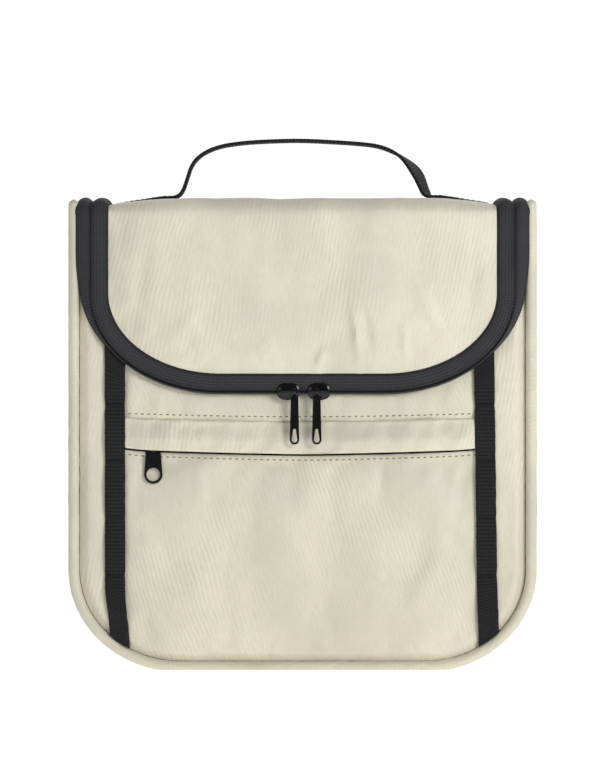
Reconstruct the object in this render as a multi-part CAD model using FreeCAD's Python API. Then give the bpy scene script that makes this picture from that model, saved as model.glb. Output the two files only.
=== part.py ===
"""Soft-sided wash bag: a tub of padded fabric, a zipped lid that folds back and a zipped front pocket.

Millimetres. X is the bag's width, Y its depth with the front at -Y, and Z is up.
The origin is the middle of the base, on the surface that the bag stands on.
Each function below makes one sub-part, or one pair or row of identical ones.
"""

import FreeCAD, Part
import math
import os
from FreeCAD import Vector

# Tub: outside half width, height, and radius of the two bottom corners.
HALF_WIDTH = 118.0
HEIGHT = 240.0
CORNER = 50.0
WALL = 2.2                       # padded gusset
SHEET = 0.8                      # outer fabric with its coating
LINING = 0.4
GAP = 0.2                        # clearance between layers that don't touch
X_AXIS, Y_AXIS, Z_AXIS = Vector(1, 0, 0), Vector(0, 1, 0), Vector(0, 0, 1)

# Seams: piping cord round the front and back faces, centred on planes at -SEAM_Y and +SEAM_Y.
PIPING_R = 2.1
SEAM_Y = 46.0
GUSSET_Y = SEAM_Y - PIPING_R     # the gusset ends where the cord begins
FACE_Y = SEAM_Y + 1.6            # outside of the front and back fabric
FACE_HALF = HALF_WIDTH - 2 * PIPING_R - GAP
FACE_BOTTOM = 2 * PIPING_R + GAP
FACE_CORNER = CORNER - 2 * PIPING_R - GAP
PIPING_TOP = HEIGHT - 1.5

# Inside layers.
POCKET_BACK_Y = -42.2            # front of the sheet that divides the pocket from the bag
LINING_HALF = HALF_WIDTH - WALL - GAP
LINING_BOTTOM = 4.0
LINING_CORNER = 46.0
LINING_Y = (-41.2, 43.4)
LINING_TOP = 236.6
BINDING_WIDTH = 5.0
BINDING_T = 0.7
BACK_FOAM_T = 2.5
BOARD = (58.0, 41.0, 1.5)        # base board: half length, half depth, thickness

# Lid opening: a U with straight sides. Offsets below are measured outwards from the lid fabric's edge.
LID_HALF = 99.0
LID_BOTTOM = 151.0
LID_CORNER = 45.0
ZIP_OFFSET = 9.0                 # the zip's centre line
ZIP_GAP = 0.4                    # from that line to each stringer
TAPE_T = 0.6
COIL_W, COIL_T = 1.6, 1.3
TAPE_SEAM = 3.0                  # tape hidden under the lid fabric
WALL_OFFSET = ZIP_OFFSET + ZIP_GAP + SHEET

# Lid layers, outside to inside: fabric, foam, lining.
FLAP_Y = -52.4                   # outside of the front flap
FOAM_T = 1.6
LID_T = SHEET + FOAM_T + LINING
FOLD_Y, FOLD_Z = FLAP_Y + LID_T, HEIGHT - LID_T
FLAP_TOP = FOLD_Z - 0.7          # the flap ends below the fold by this gap
LID_BACK_Y = 46.3

# Front: webbing strips over the seams between the side panels and the middle, and the pocket between them.
STRIP_X = 94.0
STRIP_W, STRIP_T = 10.4, 1.2
PANEL_SEAM_X = 91.0
TACK_Z = (135.0, 106.0, 77.0, 48.0)
TACK_H, TACK_T = 2.0, 0.5
YOKE_BOTTOM = 116.5
PLACKET_SEAM_Z, PLACKET_EDGE_Z = 126.0, 110.4
PLACKET_Y = -52.3
POCKET_TOP = 108.5

# Pocket zip.
POCKET_ZIP_Z = 112.5
POCKET_TAPE_Y = -FACE_Y + SHEET  # front of its tapes: the back of the front panels
POCKET_TAPE_H = 11.0
POCKET_ZIP_HALF = 86.0
POCKET_SLIDER_X = -76.0
POCKET_SLIDER_FACE_Y = -47.8
POCKET_BAR_Y = -49.4
POCKET_BAR_R = 0.5

# Handle: a strap across the lid, sewn down at both ends.
STRAP_W, STRAP_T = 16.0, 1.6
STRAP_END_X = 96.0
RISE_X = 62.0
ARCH_TOP = 270.0
TILT_Z = 250.0                   # the strap bends here when it is tipped over
TILT_ANGLE = 60.0
TILT_GAP = 0.4

# Main zip sliders and their pulls.
ZIP_Z = LID_BOTTOM - ZIP_OFFSET
SLIDER_X = {-1: -7.2, 1: 8.3}    # the two sliders don't meet exactly in the middle
SLIDER_HALF = 5.4
PULL_X = {-1: -4.1, 1: 7.2}
PULL_TIP_Z = 115.0
SLIDER_FACE_Y = -52.9
SLIDER_BAR_Y = -55.0
SLIDER_BAR_R = 0.65


def box(x0, x1, y0, y1, z0, z1):
    """A box from its limits, given in any order."""
    low = Vector(min(x0, x1), min(y0, y1), min(z0, z1))
    return Part.makeBox(abs(x1 - x0), abs(y1 - y0), abs(z1 - z0), low)


def prism(points, y0, y1):
    """A polygon of (x, z) points, extruded from y0 to y1."""
    corners = [Vector(x, y0, z) for x, z in points]
    face = Part.Face(Part.makePolygon(corners + corners[:1]))
    return face.extrude(Vector(0, y1 - y0, 0))


def profile(points, x0, x1):
    """A polygon of (y, z) points, extruded from x0 to x1."""
    corners = [Vector(x0, y, z) for y, z in points]
    face = Part.Face(Part.makePolygon(corners + corners[:1]))
    return face.extrude(Vector(x1 - x0, 0, 0))


def u_edges(half, bottom, radius, top, y):
    """Edges of an upright U: left side, corner, bottom, corner, right side."""
    mid = radius * (1 - math.sqrt(0.5))
    left = [Vector(-half, y, bottom + radius), Vector(-half + mid, y, bottom + mid)]
    left.append(Vector(-half + radius, y, bottom))
    right = [Vector(-p.x, y, p.z) for p in reversed(left)]
    return [
        Part.LineSegment(Vector(-half, y, top), left[0]).toShape(),
        Part.Arc(*left).toShape(),
        Part.LineSegment(left[2], right[0]).toShape(),
        Part.Arc(*right).toShape(),
        Part.LineSegment(right[2], Vector(half, y, top)).toShape(),
    ]


def u_slab(half, bottom, radius, top, y0, y1):
    """A plate with a straight top edge and two round bottom corners."""
    edges = u_edges(half, bottom, radius, top, y0)
    edges.append(Part.LineSegment(Vector(half, y0, top), Vector(-half, y0, top)).toShape())
    return Part.Face(Part.Wire(edges)).extrude(Vector(0, y1 - y0, 0))


def tub_band(inset, thickness, top, y0, y1):
    """A band that follows the tub's U, inset from its outside."""
    outer = u_slab(HALF_WIDTH - inset, inset, CORNER - inset, top, y0, y1)
    more = inset + thickness
    inner = u_slab(HALF_WIDTH - more, more, CORNER - more, top + 1, y0 - 1, y1 + 1)
    return outer.cut(inner)


def lid_slab(offset, top, y0, y1):
    """A plate with the lid's outline, grown by offset."""
    return u_slab(LID_HALF + offset, LID_BOTTOM - offset, LID_CORNER + offset, top, y0, y1)


def lid_band(inner, outer, top, y0, y1):
    """A U band between two offsets of the lid's outline."""
    return lid_slab(outer, top, y0, y1).cut(lid_slab(inner, top + 1, y0 - 1, y1 + 1))


def both_sides(x0, x1, y0, y1, z0, z1):
    """A box and its mirror image across the middle of the bag."""
    return Part.makeCompound([box(s * x0, s * x1, y0, y1, z0, z1) for s in (-1, 1)])


# ---- tub ----

def side_gusset(side):
    """Straight side wall, from the bottom corner up to the lid zip. side is -1 or 1."""
    top = HEIGHT - SHEET
    return box(side * HALF_WIDTH, side * (HALF_WIDTH - WALL), -GUSSET_Y, GUSSET_Y, CORNER, top)


def base_gusset():
    """Bottom wall with both round corners."""
    band = tub_band(0, WALL, HEIGHT, -GUSSET_Y, GUSSET_Y)
    return band.common(box(-500, 500, -500, 500, 0, CORNER))


def piping(y):
    """Fabric-covered cord along the seam between the gusset and a face."""
    edges = u_edges(HALF_WIDTH - PIPING_R, PIPING_R, CORNER - PIPING_R, PIPING_TOP, y)
    circle = Part.makeCircle(PIPING_R, Vector(-(HALF_WIDTH - PIPING_R), y, PIPING_TOP), Z_AXIS)
    return Part.Wire(edges).makePipeShell([Part.Wire([circle])], True, False)


def face_slab(y0, y1, top=PIPING_TOP):
    """A plate that fills the inside of the piping."""
    return u_slab(FACE_HALF, FACE_BOTTOM, FACE_CORNER, top, y0, y1)


def back_panel():
    """Outer fabric of the back."""
    return face_slab(FACE_Y - SHEET, FACE_Y)


def back_foam():
    """Foam sheet behind the back fabric. It ends below the lid."""
    outside = FACE_Y - SHEET
    return face_slab(outside - BACK_FOAM_T, outside, LINING_TOP)


def front_sheet():
    """The front's outer layer before it is cut into panels: the lid's opening is left out."""
    return face_slab(-FACE_Y, -FACE_Y + SHEET).cut(lid_slab(WALL_OFFSET, 300, -60, -30))


def front_side_panel(side):
    """Front panel outside a webbing strip."""
    x0, x1 = side * (PANEL_SEAM_X + 0.05), side * HALF_WIDTH
    return front_sheet().common(box(x0, x1, -60, -30, -1, HEIGHT))


def front_yoke():
    """Front panel between the lid zip and the pocket zip."""
    return front_sheet().common(box(-PANEL_SEAM_X, PANEL_SEAM_X, -60, -30, YOKE_BOTTOM, HEIGHT))


def pocket_panel():
    """Face of the pocket, from its zip down to the bottom seam."""
    return front_sheet().common(box(-PANEL_SEAM_X, PANEL_SEAM_X, -60, -30, -1, POCKET_TOP))


def pocket_placket():
    """Strip sewn on the yoke that hangs over the pocket zip as a lip."""
    half = STRIP_X - STRIP_W / 2 - 0.3
    yoke, inside, edge = -FACE_Y, PLACKET_Y + 0.7, PLACKET_EDGE_Z
    bend = PLACKET_SEAM_Z - 5.0
    points = [(yoke, PLACKET_SEAM_Z), (yoke - 0.7, PLACKET_SEAM_Z), (PLACKET_Y, bend), (PLACKET_Y, edge)]
    points += [(inside, edge), (inside, bend - 0.4), (yoke, PLACKET_SEAM_Z - 1.2)]
    return profile(points, -half, half)


def pocket_back():
    """Sheet behind the pocket, with the lid's opening cut out of its top."""
    y0, y1 = POCKET_BACK_Y, POCKET_BACK_Y + 0.6
    sheet = u_slab(HALF_WIDTH - WALL - 0.1, WALL + 0.1, CORNER - WALL - 0.1, LINING_TOP, y0, y1)
    return sheet.cut(lid_slab(WALL_OFFSET, 300, -60, -30))


def base_board():
    """Stiff board on the bottom wall."""
    half_x, half_y, thick = BOARD
    return box(-half_x, half_x, -half_y, half_y, WALL + 0.1, WALL + 0.1 + thick)


# ---- lining ----

def lining_slab(inset, top, y0, y1):
    """A plate that follows the inside of the tub."""
    return u_slab(LINING_HALF - inset, LINING_BOTTOM + inset, LINING_CORNER - inset, top, y0, y1)


def tub_lining():
    """Lining band up one side, along the base and down the other."""
    y0, y1 = LINING_Y
    return lining_slab(0, LINING_TOP, y0, y1).cut(lining_slab(LINING, HEIGHT, y0 - 1, y1 + 1))


def side_lining(side):
    """Straight part of the lining band."""
    limit = LINING_BOTTOM + LINING_CORNER
    return tub_lining().common(box(0, side * 200, -60, 60, limit, HEIGHT))


def base_lining():
    """Bottom of the lining band, with its corners."""
    return tub_lining().common(box(-200, 200, -60, 60, 0, LINING_BOTTOM + LINING_CORNER))


def back_lining():
    """Lining of the back."""
    y0 = LINING_Y[1] + 0.1
    return lining_slab(LINING, LINING_TOP, y0, y0 + LINING)


def seam_binding(y0, y1):
    """Tape folded round the raw edges of an inside seam."""
    outer = LINING + GAP
    band = lining_slab(outer, LINING_TOP - 1, y0, y1)
    return band.cut(lining_slab(outer + BINDING_T, HEIGHT, y0 - 1, y1 + 1))


def hinge_tape():
    """Tape over the seam that the lid turns on."""
    return box(-FACE_HALF, FACE_HALF, LID_BACK_Y + 0.6, FACE_Y, PIPING_TOP + 0.1, HEIGHT - 0.2)


# ---- webbing strips ----

def webbing_strip(side):
    """Daisy-chain webbing from under the lid zip down to the bottom seam."""
    x = side * STRIP_X
    strip = box(x - STRIP_W / 2, x + STRIP_W / 2, -FACE_Y - STRIP_T, -FACE_Y, 0, 200)
    below_zip = lid_slab(WALL_OFFSET + COIL_W, 300, -60, -30)
    return strip.common(face_slab(-60, -30)).cut(below_zip)


def bar_tacks(side):
    """Rows of dense stitching that divide a strip into loops."""
    x, y1 = side * STRIP_X, -FACE_Y - STRIP_T
    half = STRIP_W / 2 - 0.8
    rows = [box(x - half, x + half, y1 - TACK_T, y1, z - TACK_H / 2, z + TACK_H / 2) for z in TACK_Z]
    return Part.makeCompound(rows)


# ---- main zip, tub side ----

def body_front_tape():
    """Tape between the tub's front edge and the zip: a low wall that holds the lid proud of the front."""
    y0, y1 = FLAP_Y + SHEET + TAPE_T + COIL_T, -FACE_Y - 0.1
    outer = WALL_OFFSET + SHEET
    return lid_band(WALL_OFFSET, outer, PIPING_TOP, y0, y1)


def body_front_coil():
    """Row of coils along that tape."""
    y0 = FLAP_Y + SHEET + 0.2
    inner = ZIP_OFFSET + ZIP_GAP
    return lid_band(inner, inner + COIL_W, PIPING_TOP, y0, FLAP_Y + SHEET + TAPE_T + COIL_T - 0.1)


def body_top_tapes():
    """Tapes along both sides of the top."""
    x0 = LID_HALF + ZIP_OFFSET + ZIP_GAP
    return both_sides(x0, HALF_WIDTH - 0.5, -GUSSET_Y, GUSSET_Y, HEIGHT - SHEET, HEIGHT - SHEET + TAPE_T)


def body_top_coils():
    """Coils under those tapes."""
    x0 = LID_HALF + ZIP_OFFSET + ZIP_GAP
    return both_sides(x0, x0 + COIL_W, -GUSSET_Y, GUSSET_Y - 4, HEIGHT - SHEET - COIL_T, HEIGHT - SHEET)


def zip_end_tabs():
    """Folded fabric tabs that close the zip's two ends at the back corners."""
    x0 = LID_HALF + ZIP_OFFSET + ZIP_GAP
    return both_sides(x0, x0 + 6, GUSSET_Y - 3.8, GUSSET_Y - 0.2, HEIGHT - SHEET - 1.4, HEIGHT - SHEET - 0.1)


# ---- lid top ----

def lid_top_layer(inset, z0, z1):
    """A flat layer of the lid's top."""
    half = LID_HALF - inset
    return box(-half, half, FOLD_Y + 0.1, LID_BACK_Y - inset / 2, z0, z1)


def lid_top_panel():
    """Outer fabric of the top."""
    return lid_top_layer(0, HEIGHT - SHEET, HEIGHT)


def lid_top_foam():
    """Foam under the top fabric, clear of the tapes."""
    return lid_top_layer(TAPE_SEAM + GAP, HEIGHT - SHEET - FOAM_T, HEIGHT - SHEET)


def lid_top_lining():
    """Lining of the top."""
    return lid_top_layer(1.0, HEIGHT - LID_T, HEIGHT - LID_T + LINING)


def lid_top_tapes():
    """Tapes along both sides of the top, sewn under its fabric."""
    x0, x1 = LID_HALF - TAPE_SEAM, LID_HALF + ZIP_OFFSET - ZIP_GAP
    return both_sides(x0, x1, FOLD_Y + 0.1, GUSSET_Y, HEIGHT - SHEET - TAPE_T, HEIGHT - SHEET)


def lid_top_coils():
    """Coils under those tapes."""
    x1 = LID_HALF + ZIP_OFFSET - ZIP_GAP
    z1 = HEIGHT - SHEET - TAPE_T
    return both_sides(x1 - COIL_W, x1, FOLD_Y + 0.1, GUSSET_Y - 4, z1 - COIL_T, z1)


# ---- lid flap ----


def flap_panel():
    """Outer fabric of the flap."""
    return lid_slab(0, FLAP_TOP, FLAP_Y, FLAP_Y + SHEET)


def flap_foam():
    """Foam behind it, clear of the tape."""
    y0 = FLAP_Y + SHEET
    return lid_slab(-TAPE_SEAM - GAP, FLAP_TOP, y0, y0 + FOAM_T)


def flap_lining():
    """Lining of the flap."""
    y1 = FLAP_Y + LID_T
    return lid_slab(-1.0, FLAP_TOP, y1 - LINING, y1)


def flap_tape():
    """Tape along the flap's U edge, sewn under its fabric."""
    y0 = FLAP_Y + SHEET
    return lid_band(-TAPE_SEAM, ZIP_OFFSET - ZIP_GAP, FLAP_TOP, y0, y0 + TAPE_T)


def flap_coil():
    """Coils behind that tape's free edge."""
    y0, outer = FLAP_Y + SHEET + TAPE_T, ZIP_OFFSET - ZIP_GAP
    return lid_band(outer - COIL_W, outer, FLAP_TOP, y0, y0 + COIL_T)


def flap_binding():
    """Binding over the seam inside the flap."""
    y0 = FLAP_Y + SHEET + TAPE_T + 0.05
    return lid_band(-0.9, 2.6, FLAP_TOP, y0, y0 + BINDING_T)


# ---- handle ----

def smooth_path(points, radii):
    """Edges along a polyline of (x, z) points whose inner corners are rounded by the given radii."""
    corners = [Vector(x, 0, z) for x, z in points]
    edges, start = [], corners[0]
    for before, corner, after, radius in zip(corners, corners[1:], corners[2:], radii):
        back = (before - corner).normalize()
        ahead = (after - corner).normalize()
        half_angle = back.getAngle(ahead) / 2
        reach = radius / math.tan(half_angle)
        middle = (back + ahead).normalize() * (radius / math.sin(half_angle) - radius)
        first, last = corner + back * reach, corner + ahead * reach
        edges.append(Part.LineSegment(start, first).toShape())
        edges.append(Part.Arc(first, corner + middle, last).toShape())
        start = last
    edges.append(Part.LineSegment(start, corners[-1]).toShape())
    return edges


def strap():
    """The whole strap: a flat sewn end, a riser, the arch, a riser and the other flat end."""
    low, top = HEIGHT + 0.1, ARCH_TOP - STRAP_T / 2
    base = low + STRAP_T / 2
    half = [(STRAP_END_X, base), (RISE_X + 2, base), (RISE_X - 5.5, 262.0), (36.0, 267.0)]
    points = [(-x, z) for x, z in half] + [(0.0, top)] + list(reversed(half))
    radii = [3.5, 9.0, 60.0, 200.0, 60.0, 9.0, 3.5]
    half_w, high = STRAP_W / 2, low + STRAP_T
    corners = [(-half_w, low), (half_w, low), (half_w, high), (-half_w, high)]
    section = [Vector(-STRAP_END_X, y, z) for y, z in corners]
    outline = Part.makePolygon(section + section[:1])
    return Part.Wire(smooth_path(points, radii)).makePipeShell([outline], True, False)


def tilt_wedge(up):
    """The space above (up 1) or below (up -1) the strap's bend, cut away so that tipping it stays clear."""
    reach = 40.0
    tip = TILT_Z + up * TILT_GAP
    flank = tip + up * reach * math.tan(math.radians(TILT_ANGLE / 2))
    far = TILT_Z + up * 100.0
    return profile([(0.0, tip), (reach, flank), (reach, far), (-reach, far), (-reach, flank)], -200, 200)


def handle_grip():
    """The strap above its bend."""
    return strap().common(tilt_wedge(1))


def handle_end(side):
    """One sewn end of the strap and the riser next to it."""
    low = strap().common(tilt_wedge(-1))
    return low.common(box(0, side * 200, -60, 60, 0, 500))


# ---- sliders and pulls ----

def rounded(shape, radius):
    """shape with every edge rounded, or as it is where the edges don't allow it."""
    try:
        result = shape.makeFillet(radius, shape.Edges)
        return result if result.isValid() and result.Volume > 0 else shape
    except Part.OCCError:
        return shape


def plate(centre_x, centre_z, half_length, mouth, tail, toward, y0, y1, radius):
    """A slider wing: wide at its mouth, which points along toward (-1 or 1), narrow at its tail."""
    m, t = toward * half_length, -toward * half_length
    points = [(m, mouth * 0.62), (m * 0.55, mouth), (0.0, mouth * 0.96), (t * 0.7, tail), (t, tail * 0.72)]
    outline = points + [(x, -z) for x, z in reversed(points)]
    return rounded(prism([(centre_x + x, centre_z + z) for x, z in outline], y0, y1), radius)


def bridge(centre_x, centre_z, half_length, foot_y, bar_y, bar_r):
    """The loop on a slider that its pull hangs from: a round bar between two legs."""
    legs = []
    for side in (-1, 1):
        x = centre_x + side * half_length
        leg = box(x - 0.45, x + 0.45, foot_y, bar_y - bar_r, centre_z - 0.9, centre_z + 0.9)
        legs.append(rounded(leg, 0.2))
    bar = Part.makeCylinder(bar_r, 2 * half_length, Vector(centre_x - half_length, bar_y, centre_z), X_AXIS)
    return legs[0].fuse([legs[1], bar])


def main_slider(side):
    """Slider of the main zip. It travels with the flap: its rear wing is only behind the flap's coils."""
    x, inner = SLIDER_X[side], -side
    front = plate(x, ZIP_Z, SLIDER_HALF, 4.2, 3.2, inner, SLIDER_FACE_Y, -51.85, 0.3)
    rear = plate(x, ZIP_Z, SLIDER_HALF, 4.0, 3.0, inner, -49.4, -48.5, 0.2)
    rear = rear.common(box(-50, 50, -60, -40, ZIP_Z - 0.25, ZIP_Z + 10))
    post_x = x + inner * (SLIDER_HALF - 2.4)
    post = box(post_x - 1.1, post_x + 1.1, -52.3, -48.9, ZIP_Z - 0.25, ZIP_Z + 0.25)
    loop = bridge(x, ZIP_Z, 4.5, SLIDER_FACE_Y + 0.3, SLIDER_BAR_Y, SLIDER_BAR_R)
    return front.fuse([rear, post, loop])


def ring(x, width, y, z, hole, outer):
    """An eye that turns on a bar along X."""
    start = Vector(x - width / 2, y, z)
    body = Part.makeCylinder(outer, width, start, X_AXIS)
    return body.cut(Part.makeCylinder(hole, width, start, X_AXIS))


def tab_outline(x, top, top_half, end_z, end_r, y0, y1):
    """A tab that widens downwards to a round end."""
    tip = Vector(x, y0, end_z - end_r)
    edges = [
        Part.LineSegment(Vector(x - end_r, y0, end_z), Vector(x - top_half, y0, top)).toShape(),
        Part.LineSegment(Vector(x - top_half, y0, top), Vector(x + top_half, y0, top)).toShape(),
        Part.LineSegment(Vector(x + top_half, y0, top), Vector(x + end_r, y0, end_z)).toShape(),
        Part.Arc(Vector(x + end_r, y0, end_z), tip, Vector(x - end_r, y0, end_z)).toShape(),
    ]
    return Part.Face(Part.Wire(edges)).extrude(Vector(0, y1 - y0, 0))


def main_pull(side):
    """Long narrow pull with a drop-shaped hole near its tip."""
    x, r = PULL_X[side], 2.45
    end_z = PULL_TIP_Z + r
    y0, y1 = SLIDER_BAR_Y - 0.6, SLIDER_BAR_Y + 0.6
    tab = tab_outline(x, ZIP_Z - 3.0, 1.95, end_z, r, y0, y1)
    hole = tab_outline(x, end_z + 5.4, 0.6, end_z, 1.4, y0 - 1, y1 + 1)
    tab = rounded(tab.cut(hole), 0.3)
    neck = box(x - 0.8, x + 0.8, y0 + 0.1, y1 - 0.1, ZIP_Z - 3.6, ZIP_Z - 1.2)
    eye = ring(x, 1.5, SLIDER_BAR_Y, ZIP_Z, SLIDER_BAR_R + 0.15, 1.7)
    return tab.fuse([neck, eye])


def pocket_slider():
    """Small slider of the pocket zip, closed at the left end."""
    x, z = POCKET_SLIDER_X, POCKET_ZIP_Z
    front = plate(x, z, 4.2, 3.2, 2.5, -1, POCKET_SLIDER_FACE_Y, -47.1, 0.2)
    rear = plate(x, z, 4.2, 3.2, 2.5, -1, -44.9, -44.2, 0.2)
    post = box(x - 3.4, x - 1.9, -47.4, -44.6, z - 0.5, z + 0.5)
    legs = []
    for side in (-1, 1):
        leg_x = x + side * 2.6
        legs.append(box(leg_x - 0.5, leg_x + 0.5, -47.5, POCKET_BAR_Y - POCKET_BAR_R, z - 0.6, z + 0.6))
    bar = Part.makeCylinder(POCKET_BAR_R, 5.2, Vector(x - 2.6, POCKET_BAR_Y, z), X_AXIS)
    return front.fuse([rear, post, bar] + legs)


def pocket_pull():
    """Flat pull with a round finger hole."""
    x, end_z, end_r = POCKET_SLIDER_X, 99.6, 4.7
    y0, y1 = POCKET_BAR_Y - 0.5, POCKET_BAR_Y + 0.5
    tab = tab_outline(x, POCKET_ZIP_Z - 2.2, 3.9, end_z, end_r, y0, y1)
    tab = rounded(tab.cut(Part.makeCylinder(3.4, 4, Vector(x, y0 - 1, end_z), Y_AXIS)), 0.25)
    neck = box(x - 1.3, x + 1.3, y0 + 0.05, y1 - 0.05, POCKET_ZIP_Z - 3.0, POCKET_ZIP_Z - 1.0)
    eye = ring(x, 2.6, POCKET_BAR_Y, POCKET_ZIP_Z, POCKET_BAR_R + 0.15, 1.35)
    return tab.fuse([neck, eye])


# ---- pocket zip ----

def pocket_tape(side):
    """Tape above (side 1) or below (side -1) the pocket's coils."""
    z = POCKET_ZIP_Z + side * 0.8
    y0, half = POCKET_TAPE_Y, POCKET_ZIP_HALF
    return box(-half, half, y0, y0 + TAPE_T, z, z + side * POCKET_TAPE_H)


def pocket_coils():
    """The two rows of coils behind those tapes."""
    y0 = POCKET_TAPE_Y + TAPE_T
    rows = []
    for side in (-1, 1):
        z = POCKET_ZIP_Z + side * 0.8
        rows.append(box(-POCKET_ZIP_HALF + 3, POCKET_ZIP_HALF - 3, y0, y0 + 1.1, z, z + side * 1.2))
    return Part.makeCompound(rows)


def pocket_stops():
    """Metal stops at both ends of the coils."""
    y0 = POCKET_TAPE_Y + TAPE_T
    rows = [(-POCKET_ZIP_HALF + 1, -POCKET_ZIP_HALF + 2.9), (POCKET_ZIP_HALF - 2.9, POCKET_ZIP_HALF - 1)]
    solids = [box(x0, x1, y0, y0 + 1.2, POCKET_ZIP_Z - 2.2, POCKET_ZIP_Z + 2.2) for x0, x1 in rows]
    return Part.makeCompound(solids)


def sub_parts():
    """Every sub-part by its node name."""
    y_front, y_back = LINING_Y
    parts = {
        "base_gusset": base_gusset(),
        "front_piping": piping(-SEAM_Y),
        "back_piping": piping(SEAM_Y),
        "back_panel": back_panel(),
        "back_foam": back_foam(),
        "front_yoke": front_yoke(),
        "pocket_panel": pocket_panel(),
        "pocket_placket": pocket_placket(),
        "pocket_back": pocket_back(),
        "base_board": base_board(),
        "base_lining": base_lining(),
        "back_lining": back_lining(),
        "front_seam_binding": seam_binding(y_front, y_front + BINDING_WIDTH),
        "back_seam_binding": seam_binding(y_back - BINDING_WIDTH, y_back),
        "hinge_tape": hinge_tape(),
        "body_front_zip_tape": body_front_tape(),
        "body_front_zip_coil": body_front_coil(),
        "body_top_zip_tapes": body_top_tapes(),
        "body_top_zip_coils": body_top_coils(),
        "zip_end_tabs": zip_end_tabs(),
        "lid_top_panel": lid_top_panel(),
        "lid_top_foam": lid_top_foam(),
        "lid_top_lining": lid_top_lining(),
        "lid_top_zip_tapes": lid_top_tapes(),
        "lid_top_zip_coils": lid_top_coils(),
        "flap_panel": flap_panel(),
        "flap_foam": flap_foam(),
        "flap_lining": flap_lining(),
        "flap_zip_tape": flap_tape(),
        "flap_zip_coil": flap_coil(),
        "flap_seam_binding": flap_binding(),
        "handle_grip": handle_grip(),
        "pocket_zip_upper_tape": pocket_tape(1),
        "pocket_zip_lower_tape": pocket_tape(-1),
        "pocket_zip_coils": pocket_coils(),
        "pocket_zip_stops": pocket_stops(),
        "pocket_slider": pocket_slider(),
        "pocket_pull": pocket_pull(),
    }
    for name, side in (("left", -1), ("right", 1)):
        parts[f"{name}_gusset"] = side_gusset(side)
        parts[f"{name}_lining"] = side_lining(side)
        parts[f"{name}_front_panel"] = front_side_panel(side)
        parts[f"{name}_webbing"] = webbing_strip(side)
        parts[f"{name}_bar_tacks"] = bar_tacks(side)
        parts[f"{name}_handle_end"] = handle_end(side)
        parts[f"{name}_slider"] = main_slider(side)
        parts[f"{name}_pull"] = main_pull(side)
    return parts


def main():
    """Writes one STEP file for each sub-part."""
    os.makedirs("parts", exist_ok=True)
    for name, shape in sorted(sub_parts().items()):
        solids = shape.Solids
        if not solids or not all(s.isValid() and s.Volume > 0 for s in solids):
            raise RuntimeError(f"{name} is not made of valid solids")
        shape.exportStep(f"parts/{name}.step")
        print(f"{name}: {len(solids)} solid(s), {sum(s.Volume for s in solids):.0f} mm3")


main()
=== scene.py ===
"""Looks of the soft-sided wash bag: cloth, zips, webbing, strap, sliders and pulls.

Lengths are in metres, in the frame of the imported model: X is the bag's width, its front faces -Y,
and the base stands on Z = 0. Cloth is cut flat, filled out by a short cloth simulation while it is
flat, and then laid in its place, so that its weave keeps its real scale.
"""

import logging
import math
from collections.abc import Callable, Iterator, Sequence
from contextlib import contextmanager
from dataclasses import dataclass, field, replace
from enum import Enum

import bmesh
import bpy
import numpy as np
from mathutils import Matrix, Vector, noise
from mathutils.bvhtree import BVHTree


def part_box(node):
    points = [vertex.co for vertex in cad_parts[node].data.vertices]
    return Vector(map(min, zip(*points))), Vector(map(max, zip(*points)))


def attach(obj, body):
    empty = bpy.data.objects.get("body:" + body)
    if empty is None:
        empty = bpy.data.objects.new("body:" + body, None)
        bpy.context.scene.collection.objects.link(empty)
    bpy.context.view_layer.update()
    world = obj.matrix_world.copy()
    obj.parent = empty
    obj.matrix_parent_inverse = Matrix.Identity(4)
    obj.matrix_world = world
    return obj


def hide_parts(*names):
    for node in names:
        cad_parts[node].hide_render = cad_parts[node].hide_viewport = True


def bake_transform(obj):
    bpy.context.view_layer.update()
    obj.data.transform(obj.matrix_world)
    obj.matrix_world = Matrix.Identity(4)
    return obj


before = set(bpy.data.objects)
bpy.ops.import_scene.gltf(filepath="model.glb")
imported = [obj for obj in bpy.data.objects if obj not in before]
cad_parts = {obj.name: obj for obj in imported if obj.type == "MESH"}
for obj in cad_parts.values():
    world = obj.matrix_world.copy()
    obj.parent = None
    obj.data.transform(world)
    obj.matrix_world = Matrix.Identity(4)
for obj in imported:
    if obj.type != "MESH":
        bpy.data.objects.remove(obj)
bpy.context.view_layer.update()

log = logging.getLogger("wash_bag")
MM = 0.001
CLOTH_UV = "cloth"
Array = np.ndarray
Place = Callable[[Array], Array]
Pair = tuple[float, float]


# ---------------------------------------------------------------- shader graphs


class Value:
    """A shader socket that takes part in arithmetic: each operator adds a Math node."""

    def __init__(self, graph: "Graph", socket: bpy.types.NodeSocket) -> None:
        """Wraps an output socket of a graph."""
        self.graph = graph
        self.socket = socket

    def _math(self, operation: str, *operands: "Value | float") -> "Value":
        """Adds a Math node with these operands, in order."""
        return self.graph.node("ShaderNodeMath", {"operation": operation}, dict(enumerate(operands)))

    def __add__(self, other: "Value | float") -> "Value":
        """Sum."""
        return self._math("ADD", self, other)

    __radd__ = __add__

    def __sub__(self, other: "Value | float") -> "Value":
        """Difference."""
        return self._math("SUBTRACT", self, other)

    def __rsub__(self, other: float) -> "Value":
        """Difference from a number."""
        return self._math("SUBTRACT", other, self)

    def __mul__(self, other: "Value | float") -> "Value":
        """Product."""
        return self._math("MULTIPLY", self, other)

    __rmul__ = __mul__

    def __pow__(self, power: float) -> "Value":
        """Power."""
        return self._math("POWER", self, power)

    def wave(self) -> "Value":
        """A sine wave from 0 to 1 with one crest for each whole number."""
        return self._math("SINE", self * (2 * math.pi)) * 0.5 + 0.5

    def clamp(self) -> "Value":
        """Limited to the range from 0 to 1."""
        return self.graph.node("ShaderNodeClamp", {}, {"Value": self})


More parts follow.
